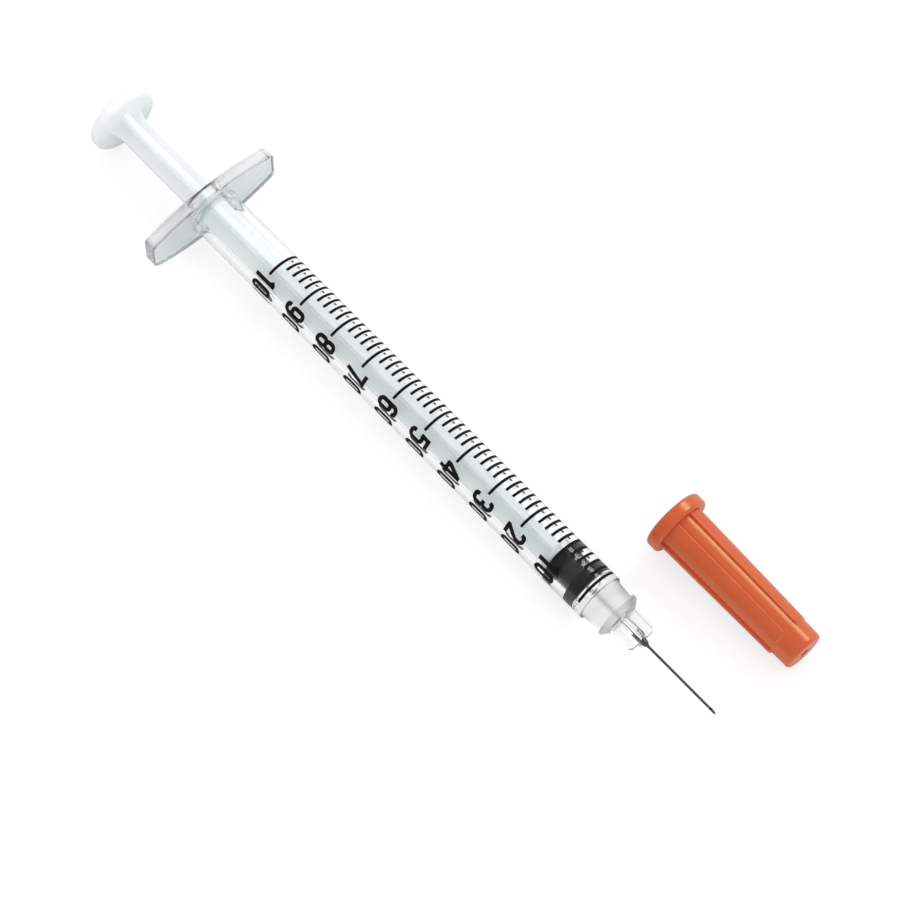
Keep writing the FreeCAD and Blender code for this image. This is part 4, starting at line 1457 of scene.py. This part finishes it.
@dataclass
class Studio:
    """Floor, world, lamps and the camera at the photograph's viewing angle."""

    surface: float = CAD_BOX[0][2]
    floor_size: float = 3.0
    floor_colour: tuple[float, float, float] = (0.55, 0.55, 0.55)
    seen_colour: tuple[float, float, float] = (0.36, 0.36, 0.36)
    floor_glow: float = 0.67
    glass_glow: float = 0.26
    mirrored_glow: float = 0.22
    bright_reach: float = 0.25
    dark_reach: float = 0.70
    far_share: float = 0.15
    world_light: float = 1.03
    horizon_light: float = 1.02
    sky_height: float = 0.60
    mirrored_wall: float = 0.80
    mirrored_sky: float = 0.12
    glass_sky: float = 0.40
    wall_slant: float = 0.35
    wall_fade: float = 0.25
    aim: tuple[float, float, float] = (0.036, 0.0, -0.001)
    lamps: tuple[Lamp, ...] = (
        Lamp("key_lamp", (-0.01, 0.48, 0.51), (0.26, 0.21), 0.94),
    )
    camera_place: tuple[float, float, float] = (162.343, -117.504, 378.076)
    camera_back: tuple[float, float, float] = (0.28745, -0.28377, 0.91479)
    camera_up: tuple[float, float, float] = (-0.67844, 0.61386, 0.40361)
    focal_share: float = 3422.08 / 900.0
    sensor: float = 36.0
    nearest: float = 0.01
    farthest: float = 10.0

    def floor(self) -> bpy.types.Object:
        """The white floor that the syringe lies on."""
        put_down()
        bpy.ops.mesh.primitive_plane_add(size=self.floor_size, location=(0, 0, self.surface))
        floor = bpy.context.object
        floor.name = "studio_floor"
        bpy.ops.object.transform_apply(location=True, rotation=True, scale=True)
        material, nodes = new_material("floor_white")
        glow = nodes.calc("MULTIPLY", nodes.ray("Is Camera Ray"), self.floor_glow)
        glow = nodes.calc("MULTIPLY_ADD", nodes.ray("Is Glossy Ray"), self.mirrored_glow, glow)
        glow = nodes.calc("MULTIPLY_ADD", nodes.ray("Is Transmission Ray"), self.glass_glow, glow)
        matte = nodes.add("ShaderNodeBsdfDiffuse", Color=self.floor_tone(nodes))
        shine = nodes.add("ShaderNodeEmission", Strength=glow)
        both = nodes.add("ShaderNodeAddShader", matte.outputs["BSDF"], shine.outputs["Emission"])
        nodes.show(both.outputs["Shader"])
        floor.data.materials.append(material)
        return floor

    def floor_tone(self, nodes: Nodes) -> bpy.types.NodeSocket:
        """The floor's colour, which fades with distance where glass and metal show it.

        Seen straight on, it is darker and glows more, so that the shadow stays light.

        Args:
            nodes: The tree to build in.

        Returns:
            The colour.
        """
        distance = nodes.add("ShaderNodeVectorMath", nodes.coordinates("Object"), operation="LENGTH")
        fade = nodes.mapped(distance.outputs["Value"], From_Min=self.bright_reach, From_Max=self.dark_reach)
        far = (*(share * self.far_share for share in self.floor_colour), 1)
        tone = nodes.mix(nodes.calc("MULTIPLY", fade, nodes.glass_ray()), (*self.floor_colour, 1), far)
        return nodes.mix(nodes.ray("Is Camera Ray"), tone, (*self.seen_colour, 1))

    def world(self) -> None:
        """A white surround to look at and an even soft light; reflections show a white wall, dim above."""
        world = bpy.data.worlds.new("studio")
        bpy.context.scene.world = world
        world.use_nodes = True
        nodes = Nodes(world.node_tree)
        parts = nodes.parts("Generated")
        soft = nodes.mapped(parts["Z"], interpolation_type="SMOOTHSTEP", From_Max=self.sky_height,
                            To_Min=self.horizon_light, To_Max=self.world_light)
        above = nodes.mapped(nodes.ray("Is Transmission Ray"), To_Min=self.mirrored_sky,
                             To_Max=self.glass_sky)
        wall = nodes.mapped(nodes.calc("MULTIPLY_ADD", parts["Y"], -self.wall_slant, parts["Z"]),
                            interpolation_type="SMOOTHSTEP", From_Max=self.wall_fade,
                            To_Min=self.mirrored_wall, To_Max=above)
        first = nodes.calc("SUBTRACT", nodes.glass_ray(), nodes.ray("Diffuse Depth"), clamped=True)
        mirrored = nodes.mix(first, soft, wall, "FLOAT")
        strength = nodes.mix(nodes.ray("Is Camera Ray"), mirrored, 1.0, "FLOAT")
        back = nodes.add("ShaderNodeBackground", Color=(1, 1, 1, 1), Strength=strength)
        nodes.show(back.outputs["Background"], "ShaderNodeOutputWorld")

    def light(self) -> None:
        """Hangs the lamps."""
        for lamp in self.lamps:
            light = bpy.data.lights.new(lamp.name, "AREA")
            light.shape = "RECTANGLE"
            light.size, light.size_y = lamp.size
            light.energy = lamp.power
            holder = bpy.data.objects.new(lamp.name, light)
            bpy.context.scene.collection.objects.link(holder)
            holder.location = lamp.place
            beam = Vector(self.aim) - Vector(lamp.place)
            holder.rotation_euler = beam.to_track_quat("-Z", "Y").to_euler()

    def camera(self, seat: Seat) -> None:
        """Places the camera, whose place and turn are given on the syringe's own axes.

        Args:
            seat: The syringe's axis.
        """
        turn = seat.matrix().to_3x3().normalized()
        back = turn @ Vector(self.camera_back).normalized()
        up = turn @ Vector(self.camera_up).normalized()
        right = up.cross(back).normalized()
        up = back.cross(right)
        matrix = Matrix((right, up, back)).transposed().to_4x4()
        matrix.translation = seat.start + turn @ Vector(self.camera_place) * MM
        data = bpy.data.cameras.new("camera")
        data.sensor_width = self.sensor
        data.lens = self.sensor * self.focal_share
        data.clip_start = self.nearest
        data.clip_end = self.farthest
        camera = bpy.data.objects.new("camera", data)
        bpy.context.scene.collection.objects.link(camera)
        camera.matrix_world = matrix
        bpy.context.scene.camera = camera

    def build(self, seat: Seat) -> None:
        """Sets up everything round the object.

        Args:
            seat: The syringe's axis.
        """
        self.floor()
        self.world()
        self.light()
        self.camera(seat)
        bpy.context.scene.view_settings.view_transform = "Standard"
        LOG.info("studio ready")


def main() -> None:
    """Builds the sub-assemblies in order."""
    logging.basicConfig(level=logging.INFO)
    surface = moulded_surface_group()
    rod = PlungerRod()
    barrel = Barrel()
    shield = NeedleShield()
    syringe_seat = Seat.from_mount("barrel_grip", barrel.root_radius, True)
    rod_seat = Seat.from_mount("thumb_disc", rod.dish_depth, False)
    shield_seat = Seat.from_mount("shield_bore", shield.hub_rear, False)
    Studio().build(syringe_seat)
    ink = BLACK_INK.build(surface)
    barrel.build(syringe_seat, ClearPlastic().build(surface))
    ScalePrint().build(syringe_seat, ink)
    Needle().build(syringe_seat, barrel.hub_end, DrawnSteel().build(), CURED_GLUE.build(surface))
    rod.build(rod_seat, FROSTED_PLASTIC.build(surface))
    Stopper().build(rod_seat, rod.disc_thickness + rod.rod_length, BLACK_RUBBER.build(surface))
    shield.build(shield_seat, ORANGE_PLASTIC.build(surface))


if __name__ == "__main__":
    main()
